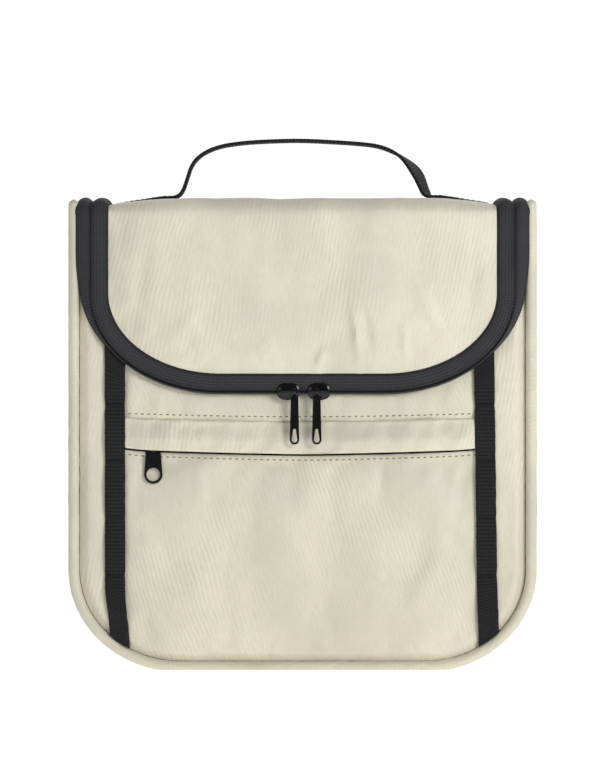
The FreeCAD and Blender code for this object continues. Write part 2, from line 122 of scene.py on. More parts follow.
class Graph:
    """The node tree of one material, with a Principled shader at its end."""

    def __init__(self, name: str) -> None:
        """Starts an empty material."""
        self.material = bpy.data.materials.new(name)
        self.material.use_nodes = True
        self.tree = self.material.node_tree
        self.tree.nodes.clear()
        self.shader = self.tree.nodes.new("ShaderNodeBsdfPrincipled")
        output = self.tree.nodes.new("ShaderNodeOutputMaterial")
        self.tree.links.new(self.shader.outputs["BSDF"], output.inputs["Surface"])

    def feed(self, socket: bpy.types.NodeSocket, value: object) -> None:
        """Links a value to a socket, or sets the socket's own number or colour."""
        if isinstance(value, Value):
            self.tree.links.new(value.socket, socket)
        else:
            socket.default_value = value

    def node(self, kind: str, settings: dict, inputs: dict, output: int | str = 0) -> Value:
        """Adds any node.

        Args:
            kind: The node's type.
            settings: Its own properties, which are set first.
            inputs: Values or links by socket name or number.
            output: The output that is returned.

        Returns:
            The chosen output.
        """
        added = self.tree.nodes.new(kind)
        for key, setting in settings.items():
            setattr(added, key, setting)
        for key, value in inputs.items():
            self.feed(added.inputs[key], value)
        return Value(self, added.outputs[output])

    def mix(self, low: object, high: object, factor: Value | float) -> Value:
        """Mixes two colours."""
        names = {0: factor, 6: low, 7: high}
        return self.node("ShaderNodeMix", {"data_type": "RGBA"}, names, 2)

    def speckle(self, where: Value, scale: float, detail: float = 2.0) -> Value:
        """Noise from 0 to 1 at a number of features for each metre."""
        return self.node("ShaderNodeTexNoise", {}, {"Vector": where, "Scale": scale, "Detail": detail})

    def split(self, vector: Value) -> tuple[Value, Value, Value]:
        """The three parts of a vector."""
        first = self.node("ShaderNodeSeparateXYZ", {}, {0: vector}, 0)
        outputs = first.socket.node.outputs
        return first, Value(self, outputs[1]), Value(self, outputs[2])

    def bump(self, height: Value, distance: float, strength: float = 1.0) -> None:
        """Feeds a height to the shader's normal."""
        inputs = {"Height": height, "Distance": distance, "Strength": strength}
        self.feed(self.shader.inputs["Normal"], self.node("ShaderNodeBump", {}, inputs))

    def finish(self, **sockets: object) -> bpy.types.Material:
        """Feeds the shader's sockets, named with underscores for spaces, and returns the material."""
        for name, value in sockets.items():
            self.feed(self.shader.inputs[name.replace("_", " ")], value)
        return self.material


Colour = tuple[float, float, float]


def rgba(colour: Colour, gain: float = 1.0) -> tuple[float, float, float, float]:
    """A colour with its alpha, made lighter or darker by gain."""
    return (colour[0] * gain, colour[1] * gain, colour[2] * gain, 1.0)


class Mapped(Enum):
    """Where a pattern is read from."""

    CLOTH = "cloth"
    OBJECT = "object"

    def coordinates(self, graph: Graph) -> Value:
        """The coordinates in metres, from the cut cloth or from the object."""
        if self is Mapped.CLOTH:
            return graph.node("ShaderNodeUVMap", {"uv_map": CLOTH_UV}, {})
        return graph.node("ShaderNodeTexCoord", {}, {}, "Object")


@dataclass(frozen=True)
class Twill:
    """Satin-faced polyester twill with steep diagonal ribs."""

    name: str
    colour: Colour
    lean: float = 0.22
    rib: float = 1.75 * MM
    streak: float = 2.3 * MM
    yarn: float = 0.5 * MM
    contrast: float = 0.26

    def material(self) -> bpy.types.Material:
        """Builds the material: ribs that show in patches, fine yarns, and slow random darker patches painted
        as the shade of soft wrinkles and satin.
        """
        graph = Graph(self.name)
        at = Mapped.CLOTH.coordinates(graph)
        u, v, _ = graph.split(at)
        wander = graph.speckle(at, 13.0, 2.0)
        drawn = graph.node("ShaderNodeCombineXYZ", {}, {0: u - v * self.lean, 1: v * 0.22, 2: 0.0})
        slub = graph.speckle(drawn, 900.0, 3.0)
        ribs = ((u - v * 0.9) * (1 / self.rib) + wander * 3).wave()
        streaks = ((u - v * self.lean) * (1 / self.streak) + wander * 6).wave()
        yarns = ((u * (1 / self.yarn)).wave() + (v * (1 / self.yarn)).wave()) * 0.5
        patch = (graph.speckle(at, 24.0, 2.0) * 4.0 - 1.9).clamp()
        other = (1.0 - patch).clamp()
        shown = (graph.speckle(at, 15.0, 2.0) * 4.2 - 1.75).clamp()
        worked = ribs * patch * 0.5 + streaks * other * shown * 0.34
        shade = (worked + slub * 0.6 + (1.0 - shown) * 0.15 + yarns * 0.08).clamp()
        dark, light = rgba(self.colour, 1 - self.contrast), rgba(self.colour, 1 + 0.5 * self.contrast)
        base = graph.mix(dark, light, shade)
        # Painted shade: slow random patches darken the cream down to 0.78 of its colour, for soft wrinkles
        # and satin.
        cloud = graph.speckle(graph.node("ShaderNodeCombineXYZ", {}, {0: u, 1: v * 0.6, 2: 0.0}), 21.0, 3.0)
        painted_shade_base = graph.mix(rgba(self.colour, 0.78), base, (cloud * 2.6 - 0.55).clamp())
        weave = ribs * patch * 0.7 + yarns * 0.3 + slub * 0.8 + streaks * other * shown * 0.7
        graph.bump(weave, 0.2 * MM, 0.7)
        rough = 0.38 + 0.16 * cloud + 0.08 * slub
        return graph.finish(Base_Color=painted_shade_base, Roughness=rough, Specular_IOR_Level=0.75)


@dataclass(frozen=True)
class Ribbed:
    """Narrow woven goods: zip tape, webbing and binding, with ribs along and across."""

    name: str
    colour: Colour
    along: float
    across: float
    depth: float
    lift: float = 3.2
    middle: float = 4.4 * MM
    # Strength of the painted shadow along both edges of the tape.
    painted_edge_shadow: float = 0.0
    stagger: float = 0.5

    def material(self) -> bpy.types.Material:
        """Builds the material. u runs along the tape and v across it."""
        graph = Graph(self.name)
        at = Mapped.CLOTH.coordinates(graph)
        u, v, _ = graph.split(at)
        fuzz = graph.speckle(at, 1600.0, 2.0)
        worn = graph.speckle(at, 70.0, 3.0)
        columns = (v * (1 / self.across)).wave()
        picks = (u * (1 / self.along) + columns * self.stagger + fuzz * 0.25).wave()
        # Raised ribs are painted lighter: partly the weave's pattern, partly a painted highlight on the ribs.
        raised = picks * 0.6 + columns * 0.4
        light = (raised * 0.6 + fuzz * 0.5 + worn * 0.3 - 0.2).clamp()
        # Painted shadow: darker towards both edges, where the tape runs under the cloth's edges.
        edge_shadow_mask = ((v - self.middle) * (1 / self.middle)) ** 4
        light = (light - edge_shadow_mask * self.painted_edge_shadow).clamp()
        base = graph.mix(rgba(self.colour, 0.5), rgba(self.colour, self.lift), light)
        graph.bump(raised + fuzz * 0.4, self.depth, 0.8)
        nap = {"Sheen_Weight": 0.06, "Sheen_Roughness": 0.5, "Specular_IOR_Level": 0.22}
        return graph.finish(Base_Color=base, Roughness=0.86 - 0.16 * raised, **nap)


@dataclass(frozen=True)
class PlainWeave:
    """Thin coated lining cloth."""

    name: str
    colour: Colour
    yarn: float = 0.7 * MM

    def material(self) -> bpy.types.Material:
        """Builds the material: a square weave with a faint shine."""
        graph = Graph(self.name)
        at = Mapped.CLOTH.coordinates(graph)
        u, v, _ = graph.split(at)
        grid = (u * (1 / self.yarn)).wave() * (v * (1 / self.yarn)).wave()
        cloud = graph.speckle(at, 30.0, 3.0)
        base = graph.mix(rgba(self.colour, 0.8), rgba(self.colour, 1.15), grid * 0.5 + cloud * 0.5)
        graph.bump(grid, 0.08 * MM, 0.5)
        return graph.finish(Base_Color=base, Roughness=0.5 + 0.15 * cloud)


@dataclass(frozen=True)
class Enamel:
    """Black enamel or moulded plastic with a soft orange peel and rubbed edges."""

    name: str
    colour: Colour
    roughness: float
    coat: float

    def material(self) -> bpy.types.Material:
        """Builds the material from the object's own coordinates."""
        graph = Graph(self.name)
        at = Mapped.OBJECT.coordinates(graph)
        peel = graph.speckle(at, 1400.0, 2.0)
        rub = graph.speckle(at, 260.0, 4.0)
        base = graph.mix(rgba(self.colour, 0.8), rgba(self.colour, 1.9), (rub * 2 - 0.7).clamp())
        graph.bump(peel, 0.03 * MM, 0.35)
        coat = {"Coat_Weight": self.coat, "Coat_Roughness": 0.08, "Specular_IOR_Level": 0.3}
        return graph.finish(Base_Color=base, Roughness=self.roughness + 0.1 * rub, **coat)


@dataclass(frozen=True)
class Grained:
    """Foam, board, coil and thread: a plain colour with grain, read from the object's coordinates."""

    name: str
    colour: Colour
    grain: float
    roughness: float
    spread: float = 0.3

    def material(self) -> bpy.types.Material:
        """Builds the material."""
        graph = Graph(self.name)
        at = Mapped.OBJECT.coordinates(graph)
        grains = graph.speckle(at, 1 / self.grain, 3.0)
        base = graph.mix(rgba(self.colour, 1 - self.spread), rgba(self.colour, 1 + self.spread), grains)
        graph.bump(grains, 0.2 * self.grain, 0.4)
        return graph.finish(Base_Color=base, Roughness=self.roughness + 0.12 * grains)


CREAM = (0.765, 0.718, 0.572)
# The piping's cream is the face's cream made darker: painted shade on the round cord.
SHADED_PIPING_CREAM = (0.70, 0.655, 0.52)
CHARCOAL = (0.019, 0.019, 0.0215)
BLACK = (0.004, 0.004, 0.0045)
WEBBING_BLACK = (0.0045, 0.0045, 0.005)


class Finish(Enum):
    """The bag's finishes. Each one belongs to a material slot of the record."""

    OUTER = ("outer_fabric", Twill("cream_twill", CREAM))
    FRONT = ("outer_fabric", Twill("cream_twill_front", CREAM, -0.3))
    PIPING = ("piping_fabric", Twill("shaded_cream_piping", SHADED_PIPING_CREAM, contrast=0.14))
    LINING = ("lining_fabric", PlainWeave("grey_lining", (0.25, 0.24, 0.22)))
    # The tape's edges are darkened as a painted shadow.
    TAPE = ("zip_tape", Ribbed("charcoal_tape", CHARCOAL, 1.3 * MM, 1.5 * MM, 0.3 * MM, painted_edge_shadow=0.6))
    # The webbing's ribs are painted strongly lighter, partly the weave's pattern and partly a painted
    # highlight.
    WEBBING = (
        "webbing",
        Ribbed("black_webbing", WEBBING_BLACK, 1.9 * MM, 1.3 * MM, 0.5 * MM, lift=5.0, stagger=0.08),
    )
    BINDING = ("binding_tape", Ribbed("black_binding", (0.02, 0.02, 0.022), 1.1 * MM, 5.0 * MM, 0.2 * MM))
    COIL = ("zip_coil", Grained("nylon_coil", (0.016, 0.016, 0.018), 0.4 * MM, 0.35))
    SLIDER = ("slider_metal", Enamel("black_enamel", BLACK, 0.08, 0.12))
    PULL = ("pull_plastic", Enamel("gloss_black", BLACK, 0.06, 0.35))
    THREAD = ("thread", Grained("black_thread", (0.006, 0.006, 0.0065), 0.25 * MM, 0.8))
    # Cream thread painted dark brown: the painted shade of its stitch holes.
    CREAM_THREAD = ("outer_fabric", Grained("shaded_cream_thread", (0.24, 0.215, 0.16), 0.25 * MM, 0.6))
    FOAM = ("foam", Grained("white_foam", (0.8, 0.8, 0.77), 0.8 * MM, 0.8, 0.12))
    BOARD = ("board", Grained("grey_board", (0.2, 0.2, 0.21), 1.2 * MM, 0.55))

    def material(self) -> bpy.types.Material:
        """The finish's material, built the first time that it is asked for."""
        slot, recipe = self.value
        return bpy.data.materials.get(recipe.name) or recipe.material()

    def slot(self) -> str:
        """The record's slot."""
        return self.value[0]


# ---------------------------------------------------------------- working with meshes


def pick(obj: bpy.types.Object) -> None:
    """Selects one object alone and makes it active."""
    for other in bpy.context.selected_objects:
        other.select_set(False)
    obj.select_set(True)
    bpy.context.view_layer.objects.active = obj


@contextmanager
def editing(obj: bpy.types.Object) -> Iterator[bmesh.types.BMesh]:
    """Edit mode on one object, with nothing selected at its start."""
    pick(obj)
    bpy.ops.object.mode_set(mode="EDIT")
    bpy.ops.mesh.select_all(action="DESELECT")
    try:
        yield bmesh.from_edit_mesh(obj.data)
    finally:
        bpy.ops.object.mode_set(mode="OBJECT")


def apply_modifier(obj: bpy.types.Object, name: str, kind: str, **settings: object) -> None:
    """Adds a modifier with these settings and applies it."""
    pick(obj)
    modifier = obj.modifiers.new(name, kind)
    for key, value in settings.items():
        setattr(modifier, key, value)
    bpy.ops.object.modifier_apply(modifier=modifier.name)


def smooth(obj: bpy.types.Object, angle: float = 40.0) -> None:
    """Smooth shading with sharp edges above an angle in degrees."""
    pick(obj)
    bpy.ops.object.shade_smooth_by_angle(angle=math.radians(angle))


def coordinates(obj: bpy.types.Object) -> Array:
    """The mesh's points as an array with a row for each."""
    points = np.zeros(len(obj.data.vertices) * 3)
    obj.data.vertices.foreach_get("co", points)
    return points.reshape(-1, 3)


def move_points(obj: bpy.types.Object, points: Array) -> None:
    """Moves the mesh's points."""
    obj.data.vertices.foreach_set("co", np.ascontiguousarray(points, dtype=np.float64).ravel())
    obj.data.update()


def edge_distance(obj: bpy.types.Object) -> Array:
    """Each point's distance from the nearest point on the sheet's open edges."""
    shape = bmesh.new()
    shape.from_mesh(obj.data)
    rim = np.array([v.co for v in shape.verts if v.is_boundary])
    shape.free()
    points = coordinates(obj)
    nearest = np.full(len(points), np.inf)
    for start in range(0, len(rim), 64):
        block = rim[None, start:start + 64, :2] - points[:, None, :2]
        nearest = np.minimum(nearest, np.sqrt((block ** 2).sum(2)).min(1))
    return nearest


def added(name: str, data: bpy.types.ID) -> bpy.types.Object:
    """Adds an object with this data to the scene."""
    obj = bpy.data.objects.new(name, data)
    bpy.context.scene.collection.objects.link(obj)
    return obj


def paint(obj: bpy.types.Object, finish: Finish) -> None:
    """Gives an object a finish in place of its materials."""
    obj.data.materials.clear()
    obj.data.materials.append(finish.material())


def dress(obj: bpy.types.Object, finish: Finish) -> bpy.types.Object:
    """Gives a piece its finish."""
    paint(obj, finish)
    return obj


def joined(name: str, pieces: Sequence[bpy.types.Object]) -> bpy.types.Object:
    """Joins pieces into one, by the given name."""
    pick(pieces[0])
    for piece in pieces:
        piece.select_set(True)
    bpy.ops.object.join()
    result = bpy.context.view_layer.objects.active
    result.name = name
    result.data.name = name
    return result


def wobble(points: Array, size: float, feature: float, seed: float) -> Array:
    """Smooth noise at each point, from -size to size, with features of the given size."""
    shift = Vector((seed, seed * 0.37, seed * 1.7))
    return np.array([noise.noise(Vector(p) / feature + shift) for p in points]) * size


def primitive(name: str, add: Callable[..., object], **settings: object) -> bpy.types.Object:
    """Adds a primitive mesh by its operator, and names it."""
    bpy.ops.object.select_all(action="DESELECT")
    add(**settings)
    obj = bpy.context.view_layer.objects.active
    obj.name = obj.data.name = name
    return obj


def plane_at(axis: int, place: float, facing: float = 1.0) -> dict[str, list[float]]:
    """The plane across one axis, as the bisect operator takes it."""
    point, normal = [0.0] * 3, [0.0] * 3
    point[axis], normal[axis] = place, facing
    return {"plane_co": point, "plane_no": normal}


def close_tube(obj: bpy.types.Object) -> None:
    """Welds a strip that is rolled into a tube, and closes its two ends."""
    with editing(obj):
        bpy.ops.mesh.select_all(action="SELECT")
        bpy.ops.mesh.remove_doubles(threshold=0.02 * MM)
        bpy.ops.mesh.select_all(action="DESELECT")
        bpy.ops.mesh.select_non_manifold()
        bpy.ops.mesh.edge_face_add()
        bpy.ops.mesh.select_all(action="SELECT")
        bpy.ops.mesh.normals_make_consistent(inside=False)
    smooth(obj, 60)


def surface_of(obj: bpy.types.Object) -> BVHTree:
    """The object's faces, ready to be hit by rays."""
    mesh = obj.data
    return BVHTree.FromPolygons([v.co for v in mesh.vertices], [p.vertices for p in mesh.polygons])


def run_of(path: Array) -> Array:
    """The distance along a path at each of its points."""
    return np.concatenate([[0], np.cumsum(np.linalg.norm(np.diff(path, axis=0), axis=1))])


def trace(path: Array, distance: Array, step: float) -> tuple[Array, Array]:
    """Points and unit directions of a path at distances along it. step is half the measuring length."""
    run = run_of(path)
    points, ahead, behind = (
        np.stack([np.interp(distance + shift, run, column) for column in path.T], 1)
        for shift in (0, step, -step)
    )
    along = ahead - behind
    return points, along / np.maximum(np.linalg.norm(along, axis=1, keepdims=True), 1e-9)


# ---------------------------------------------------------------- flat cloth

SETTLE_FRAMES = 20
PINNED = 0.2 * MM
CLOTH_SETTINGS = {
    "quality": 6, "mass": 0.12, "air_damping": 4, "tension_stiffness": 18, "compression_stiffness": 18,
    "shear_stiffness": 6, "bending_stiffness": 0.25, "use_pressure": True, "vertex_group_mass": "sewn",
}


@dataclass
class Sheet:
    """A piece of cloth. While it is flat, X and Y are its own u and v, and Z is its height."""

    name: str
    obj: bpy.types.Object
    cap: float = 0.0
    rest: Array | None = None
    tuck: float = 0.9 * MM

    @classmethod
    def strip(cls, name: str, u: Pair, v: Pair, cell: Pair) -> "Sheet":
        """Cuts a rectangle from u[0] to u[1] and v[0] to v[1], with cells about cell in size."""
        columns, rows = (max(2, round((side[1] - side[0]) / step)) for side, step in zip((u, v), cell))
        grid = {"x_subdivisions": columns, "y_subdivisions": rows}
        obj = primitive(name, bpy.ops.mesh.primitive_grid_add, size=2, **grid)
        points = coordinates(obj)
        for axis, (low, high) in enumerate((u, v)):
            points[:, axis] = low + (points[:, axis] + 1) / 2 * (high - low)
        move_points(obj, points)
        return cls(name, obj)

    @classmethod
    def rounded(cls, name: str, outline: "UCurve", cell: float) -> "Sheet":
        """Cuts a U outline: a plane whose two lower corners are bevelled, then cut into square cells."""
        obj = primitive(name, bpy.ops.mesh.primitive_plane_add, size=2)
        wide = outline.half / outline.reach
        middle = (outline.top - outline.bottom) / outline.rise / 2
        move_points(obj, coordinates(obj) * [wide, middle, 0] + [0, middle, 0])
        with editing(obj) as shape:
            for vertex in shape.verts:
                vertex.select_set(vertex.co.y < middle)
            bpy.ops.mesh.bevel(offset=1.0, segments=20, affect="VERTICES", profile=0.5, clamp_overlap=False)
            bpy.ops.mesh.select_all(action="SELECT")
            bpy.ops.transform.resize(value=(outline.reach, outline.rise, 1), center_override=(0, 0, 0))
            bpy.ops.transform.translate(value=(0, outline.bottom, 0))
            for axis, low, top in ((0, -outline.half, outline.half), (1, outline.bottom, outline.top)):
                count = round((top - low) / cell)
                for i in range(1, count):
                    bpy.ops.mesh.select_all(action="SELECT")
                    bpy.ops.mesh.bisect(**plane_at(axis, low + (top - low) * i / count))
            bpy.ops.mesh.select_all(action="SELECT")
            bpy.ops.mesh.remove_doubles(threshold=cell * 0.12)
        return cls(name, obj)

    def copy(self, name: str) -> "Sheet":
        """A second sheet of the same cut."""
        obj = added(name, self.obj.data.copy())
        obj.data.name = name
        return Sheet(name, obj)

    def trim(self, keep: Callable[[float, float], bool]) -> "Sheet":
        """Removes the cells whose middle keep refuses."""
        with editing(self.obj) as shape:
            for face in shape.faces:
                middle = face.calc_center_median()
                face.select_set(not keep(middle.x, middle.y))
            bmesh.update_edit_mesh(self.obj.data)
            bpy.ops.mesh.delete(type="FACE")
        return self

    def clip(self, axis: int, limit: float, side: int) -> "Sheet":
        """Cuts along u or v (axis 0 or 1) at limit, and keeps what is above it (side 1) or below it (-1)."""
        with editing(self.obj):
            bpy.ops.mesh.select_all(action="SELECT")
            bpy.ops.mesh.bisect(**plane_at(axis, limit, -float(side)), clear_outer=True)
            bpy.ops.mesh.select_all(action="SELECT")
            bpy.ops.mesh.remove_doubles(threshold=0.3 * MM)
        return self

    def snap(self, curve: "UCurve", reach: float) -> "Sheet":
        """Moves the open edge's points that are near a curve onto it."""
        line, _ = curve.at(np.linspace(0, curve.length, 900))
        shape = bmesh.new()
        shape.from_mesh(self.obj.data)
        for vertex in shape.verts:
            if vertex.is_boundary:
                gap = np.hypot(line[:, 0] - vertex.co.x, line[:, 1] - vertex.co.y)
                nearest = int(gap.argmin())
                if gap[nearest] < reach:
                    vertex.co.x, vertex.co.y = line[nearest]
        shape.to_mesh(self.obj.data)
        shape.free()
        return self

    def crown(
        self, height: float, reach: float, ripple: float = 0.0, seed: float = 1.0, pucker: float = 0.0
    ) -> "Sheet":
        """Raises the middle by height, rounding down to the edges within reach.

        Args:
            height: Rise of the middle.
            reach: Distance from the edges over which it rises.
            ripple: Height of the long soft wrinkles, which run mostly along v.
            seed: Place in the noise, so that no two sheets match.
            pucker: Height of the small gathers beside the seams.

        Returns:
            The sheet.
        """
        points = coordinates(self.obj)
        flat = points * [1, 0.45, 0]
        gap = edge_distance(self.obj)
        rise = 1 - (1 - np.clip(gap / reach, 0, 1)) ** 2
        long, short = wobble(flat, ripple, 24 * MM, seed), wobble(flat, ripple * 0.4, 9 * MM, seed + 5)
        points[:, 2] += rise * (height + long + short)
        gathers = wobble(points * [1, 1, 0], pucker, 7 * MM, seed + 9) * np.exp(-gap / (10 * MM))
        points[:, 2] += gathers * np.clip(gap / (1.5 * MM), 0, 1)
        points[:, 2] -= self.tuck * (1 - np.clip(gap / (2.4 * MM), 0, 1)) ** 2
        move_points(self.obj, points)
        return self

    def loosen(self, pressure: float, growth: float, cap: float) -> "Sheet":
        """Adds the cloth simulation that fills the sheet out, which settle() finishes.

        Args:
            pressure: Force from below.
            growth: Share by which the cloth is larger than its seams, which makes it buckle.
            cap: The furthest that a point may move.

        Returns:
            The sheet.
        """
        self.cap = cap
        self.rest = coordinates(self.obj)
        near = np.nonzero(edge_distance(self.obj) <= PINNED)[0]
        group = self.obj.vertex_groups.new(name="sewn")
        group.add([int(i) for i in near], 1.0, "REPLACE")
        cloth = self.obj.modifiers.new("cloth", "CLOTH")
        for key, value in CLOTH_SETTINGS.items():
            setattr(cloth.settings, key, value)
        cloth.settings.uniform_pressure_force = pressure
        cloth.settings.shrink_min = -growth
        cloth.settings.effector_weights.gravity = 0
        cloth.point_cache.frame_start = 1
        cloth.point_cache.frame_end = SETTLE_FRAMES
        return self

    def settle(self) -> None:
        """Applies the simulation, and limits how far it moved each point."""
        if "cloth" not in self.obj.modifiers:
            return
        pick(self.obj)
        bpy.ops.object.modifier_apply(modifier="cloth")
        moved = coordinates(self.obj) - self.rest
        far = np.linalg.norm(moved, axis=1, keepdims=True)
        limit = self.cap * np.tanh(far / self.cap)
        share = np.divide(limit, far, out=np.ones_like(far), where=far > 1e-9)
        move_points(self.obj, self.rest + moved * share)
        self.obj.vertex_groups.clear()

    def lay(self, place: Place, thickness: float, levels: int = 1) -> bpy.types.Object:
        """Lays the flat sheet in its place, with its weave's coordinates, and gives it its thickness.

        Args:
            place: Takes rows of u, v and height, and returns rows of x, y and z.
            thickness: The cloth's thickness, inwards from the laid surface. 0 leaves it as it is.
            levels: Levels of subdivision before it is laid.

        Returns:
            The finished object.
        """
        obj, mesh = self.obj, self.obj.data
        if levels:
            settings = {"levels": levels, "render_levels": levels}
            apply_modifier(obj, "finer", "SUBSURF", boundary_smooth="PRESERVE_CORNERS", **settings)
        flat = coordinates(obj)
        while mesh.uv_layers:
            mesh.uv_layers.remove(mesh.uv_layers[0])
        layer = mesh.uv_layers.new(name=CLOTH_UV)
        corners = np.zeros(len(mesh.loops), dtype=np.int32)
        mesh.loops.foreach_get("vertex_index", corners)
        layer.data.foreach_set("uv", np.ascontiguousarray(flat[corners, :2]).ravel())
        move_points(obj, place(flat))
        centre = flat.mean(0) * [1, 1, 0]
        probe = place(centre + 0.1 * MM * np.array([[0, 0, 0], [1, 0, 0], [0, 1, 0], [0, 0, -1]]))
        if np.linalg.det(probe[1:] - probe[0]) > 0:
            with editing(obj):
                bpy.ops.mesh.select_all(action="SELECT")
                bpy.ops.mesh.flip_normals()
        if thickness:
            apply_modifier(obj, "thickness", "SOLIDIFY", thickness=thickness, offset=-1.0)
        smooth(obj, 50)
        return obj


def settle_all(sheets: Sequence[Sheet]) -> None:
    """Runs the cloth simulations of all sheets together and applies them."""
    scene = bpy.context.scene
    scene.frame_start, scene.frame_end = 1, SETTLE_FRAMES
    for number in range(1, SETTLE_FRAMES + 1):
        scene.frame_set(number)
    for sheet in sheets:
        sheet.settle()
    scene.frame_set(1)
    log.info("settled %d sheets of cloth", len(sheets))


# ---------------------------------------------------------------- curves and surfaces


@dataclass(frozen=True)
class UCurve:
    """An upright U of two straight sides, two quarter-ellipse corners and a straight bottom."""

    half: float
    bottom: float
    reach: float
    rise: float
    top: float

    def grown(self, offset: float) -> "UCurve":
        """The U at a distance outside this one."""
        sizes = (self.half + offset, self.bottom - offset, self.reach + offset, self.rise + offset)
        return UCurve(*sizes, self.top)

    def sunk(self, drop: float) -> "UCurve":
        """The U with its bottom lowered, and its corners and sides where they were."""
        return replace(self, bottom=self.bottom - drop, rise=self.rise + drop)

    def _line(self) -> Array:
        """Points along the U, from its left top to its right top."""
        angle = np.linspace(0, math.pi / 2, 80)
        x = np.concatenate([[-self.half], -self.half + self.reach * (1 - np.cos(angle))])
        z = np.concatenate([[self.top], self.bottom + self.rise * (1 - np.sin(angle))])
        left = np.stack([x, z], 1)
        return np.concatenate([left, left[::-1] * [-1, 1]])

    @property
    def length(self) -> float:
        """The U's length."""
        return float(np.linalg.norm(np.diff(self._line(), axis=0), axis=1).sum())

    def at(self, distance: Array) -> tuple[Array, Array]:
        """Points and outward directions at distances along the U."""
        points, along = trace(self._line(), distance, 0.4 * MM)
        return points, np.stack([along[:, 1], -along[:, 0]], 1)

    def floor_at(self, x: Array) -> Array:
        """The height of the U's lower edge at each x."""
        side = np.clip((np.abs(x) - self.half + self.reach) / self.reach, 0, 1)
        return self.bottom + self.rise * (1 - np.sqrt(1 - side ** 2))

    def holds(self, x: float, z: float) -> bool:
        """Whether a point is inside the U."""
        if z > self.bottom + self.rise:
            return abs(x) < self.half
        side = max(0.0, (abs(x) - (self.half - self.reach)) / self.reach)
        down = (self.bottom + self.rise - z) / self.rise
        return side ** 2 + down ** 2 < 1


@dataclass(frozen=True)
class Fold:
    """The lid's surface: flat in front, rounded over the front top edge, and slightly domed on top.

    Its flat coordinates are x and the height w, which runs on over the fold towards the back.
    """

    face_y: float
    top_z: float
    radius: float
    depth: float
    arch: float = 2.0 * MM
    droop: float = 1.5 * MM
    level_half: float = 60.0 * MM
    half: float = 99.0 * MM

    @property
    def start(self) -> float:
        """Where the cloth begins to turn over the fold."""
        return self.top_z - self.radius

    @property
    def arc(self) -> float:
        """The length of cloth that the fold takes up."""
        return self.radius * math.pi / 2

    def turn(self, w: Array) -> Array:
        """The angle that the cloth has turned through: 0 in front, and a right angle on top."""
        return np.clip((w - self.start) / self.arc, 0, 1) * math.pi / 2

    def past(self, w: Array) -> Array:
        """The distance behind the fold, and 0 before it."""
        return np.maximum(w - self.start - self.arc, 0)

    def on_top(self, w: Array) -> Array:
        """0 in front of the fold and 1 behind it."""
        return np.sin(self.turn(w)) ** 2

    def dome(self, x: Array, w: Array) -> Array:
        """How far the top's surface stands above its level at the fold."""
        side = np.clip((np.abs(x) - self.level_half) / (self.half - self.level_half), 0, 1)
        rise = self.arch * np.sin(np.clip(self.past(w) / self.depth, 0, 1) * math.pi)
        return rise - self.droop * side ** 2 * self.on_top(w)

    def place(self, x: Array, w: Array, h: Array) -> Array:
        """Points at x, w and a height h above the surface."""
        angle = self.turn(w)
        y = self.face_y + self.radius * (1 - np.cos(angle)) - h * np.cos(angle) + self.past(w)
        z = np.minimum(w, self.start) + (self.radius + h) * np.sin(angle) + self.dome(x, w)
        return np.stack([x, y, z], 1)

    def unrolled(self, y: float) -> float:
        """The flat coordinate w of a place on top at depth y."""
        return self.start + self.arc + y - (self.face_y + self.radius)


def blend_in(value: Array, start: float, end: float) -> Array:
    """0 before start and 1 after end, with a smooth change between them."""
    share = np.clip((value - start) / (end - start), 0, 1)
    return share * share * (3 - 2 * share)


@dataclass(frozen=True)
class Crease:
    """A soft fold in laid cloth: a long low ridge, or a hollow if its height is negative. Sizes are in mm."""

    x: float
    z: float
    lean: float
    length: float
    width: float
    height: float

    def rise(self, flat: Array) -> Array:
        """Height of the ridge at each flat point, in metres."""
        turn = math.radians(self.lean)
        x, z = flat[:, 0] / MM - self.x, flat[:, 1] / MM - self.z
        along = (x * math.sin(turn) + z * math.cos(turn)) / self.length
        across = (x * math.cos(turn) - z * math.sin(turn)) / self.width
        return self.height * MM * np.exp(-(along ** 2) - across ** 2)


LID_CREASES = (
    Crease(9, 158, 16, 7, 1.8, 1.7), Crease(52, 166, -4, 7, 1.8, 1.3),
    Crease(27, 171, -7, 12, 1.7, 1.9), Crease(33, 173, -9, 10, 1.7, -1.5),
    Crease(-16, 163, -20, 8, 3.0, 0.7), Crease(64, 184, -28, 14, 3.0, 0.9),
    Crease(-82, 202, 8, 22, 4.0, -0.9), Crease(86, 196, 4, 25, 4.0, -0.8), Crease(-60, 175, 35, 12, 3.0, 0.7),
)
YOKE_CREASES = (
    Crease(-73, 134, 0, 6, 2.5, 0.7), Crease(-61, 135, 8, 6, 2.5, -0.6), Crease(-40, 140, -12, 7, 2.5, 0.5),
    Crease(52, 137, -10, 8, 3.0, 0.8), Crease(20, 133, 5, 6, 2.2, -0.5), Crease(76, 142, 12, 8, 3.0, 0.7),
)
POCKET_CREASES = (
    Crease(-70, 62, -20, 25, 5.0, -0.9), Crease(60, 42, 30, 22, 5.0, 0.8), Crease(80, 86, 8, 22, 4.0, -0.9),
    Crease(-76, 26, -35, 14, 4.0, 0.9), Crease(2, 96, 4, 12, 4.0, 0.6), Crease(-52, 92, -10, 14, 3.0, 0.7),
    Crease(40, 94, 12, 10, 3.0, -0.6),
)
PLACKET_CREASES = (
    Crease(-68, 8, 0, 5, 2.5, 0.6), Crease(-50, 9, -6, 5, 2.2, 0.6), Crease(-20, 7, 8, 5, 2.6, -0.4),
    Crease(34, 8, 6, 5, 2.5, 0.5), Crease(66, 8, -6, 6, 3.0, 0.5),
)


def creased(flat: Array, creases: Sequence[Crease]) -> Array:
    """The flat points with the creases added to their heights."""
    lifted = flat.copy()
    lifted[:, 2] += sum(crease.rise(flat) for crease in creases)
    return lifted


# The seams beside the pocket, under the webbing.
SEAM_X = 91 * MM


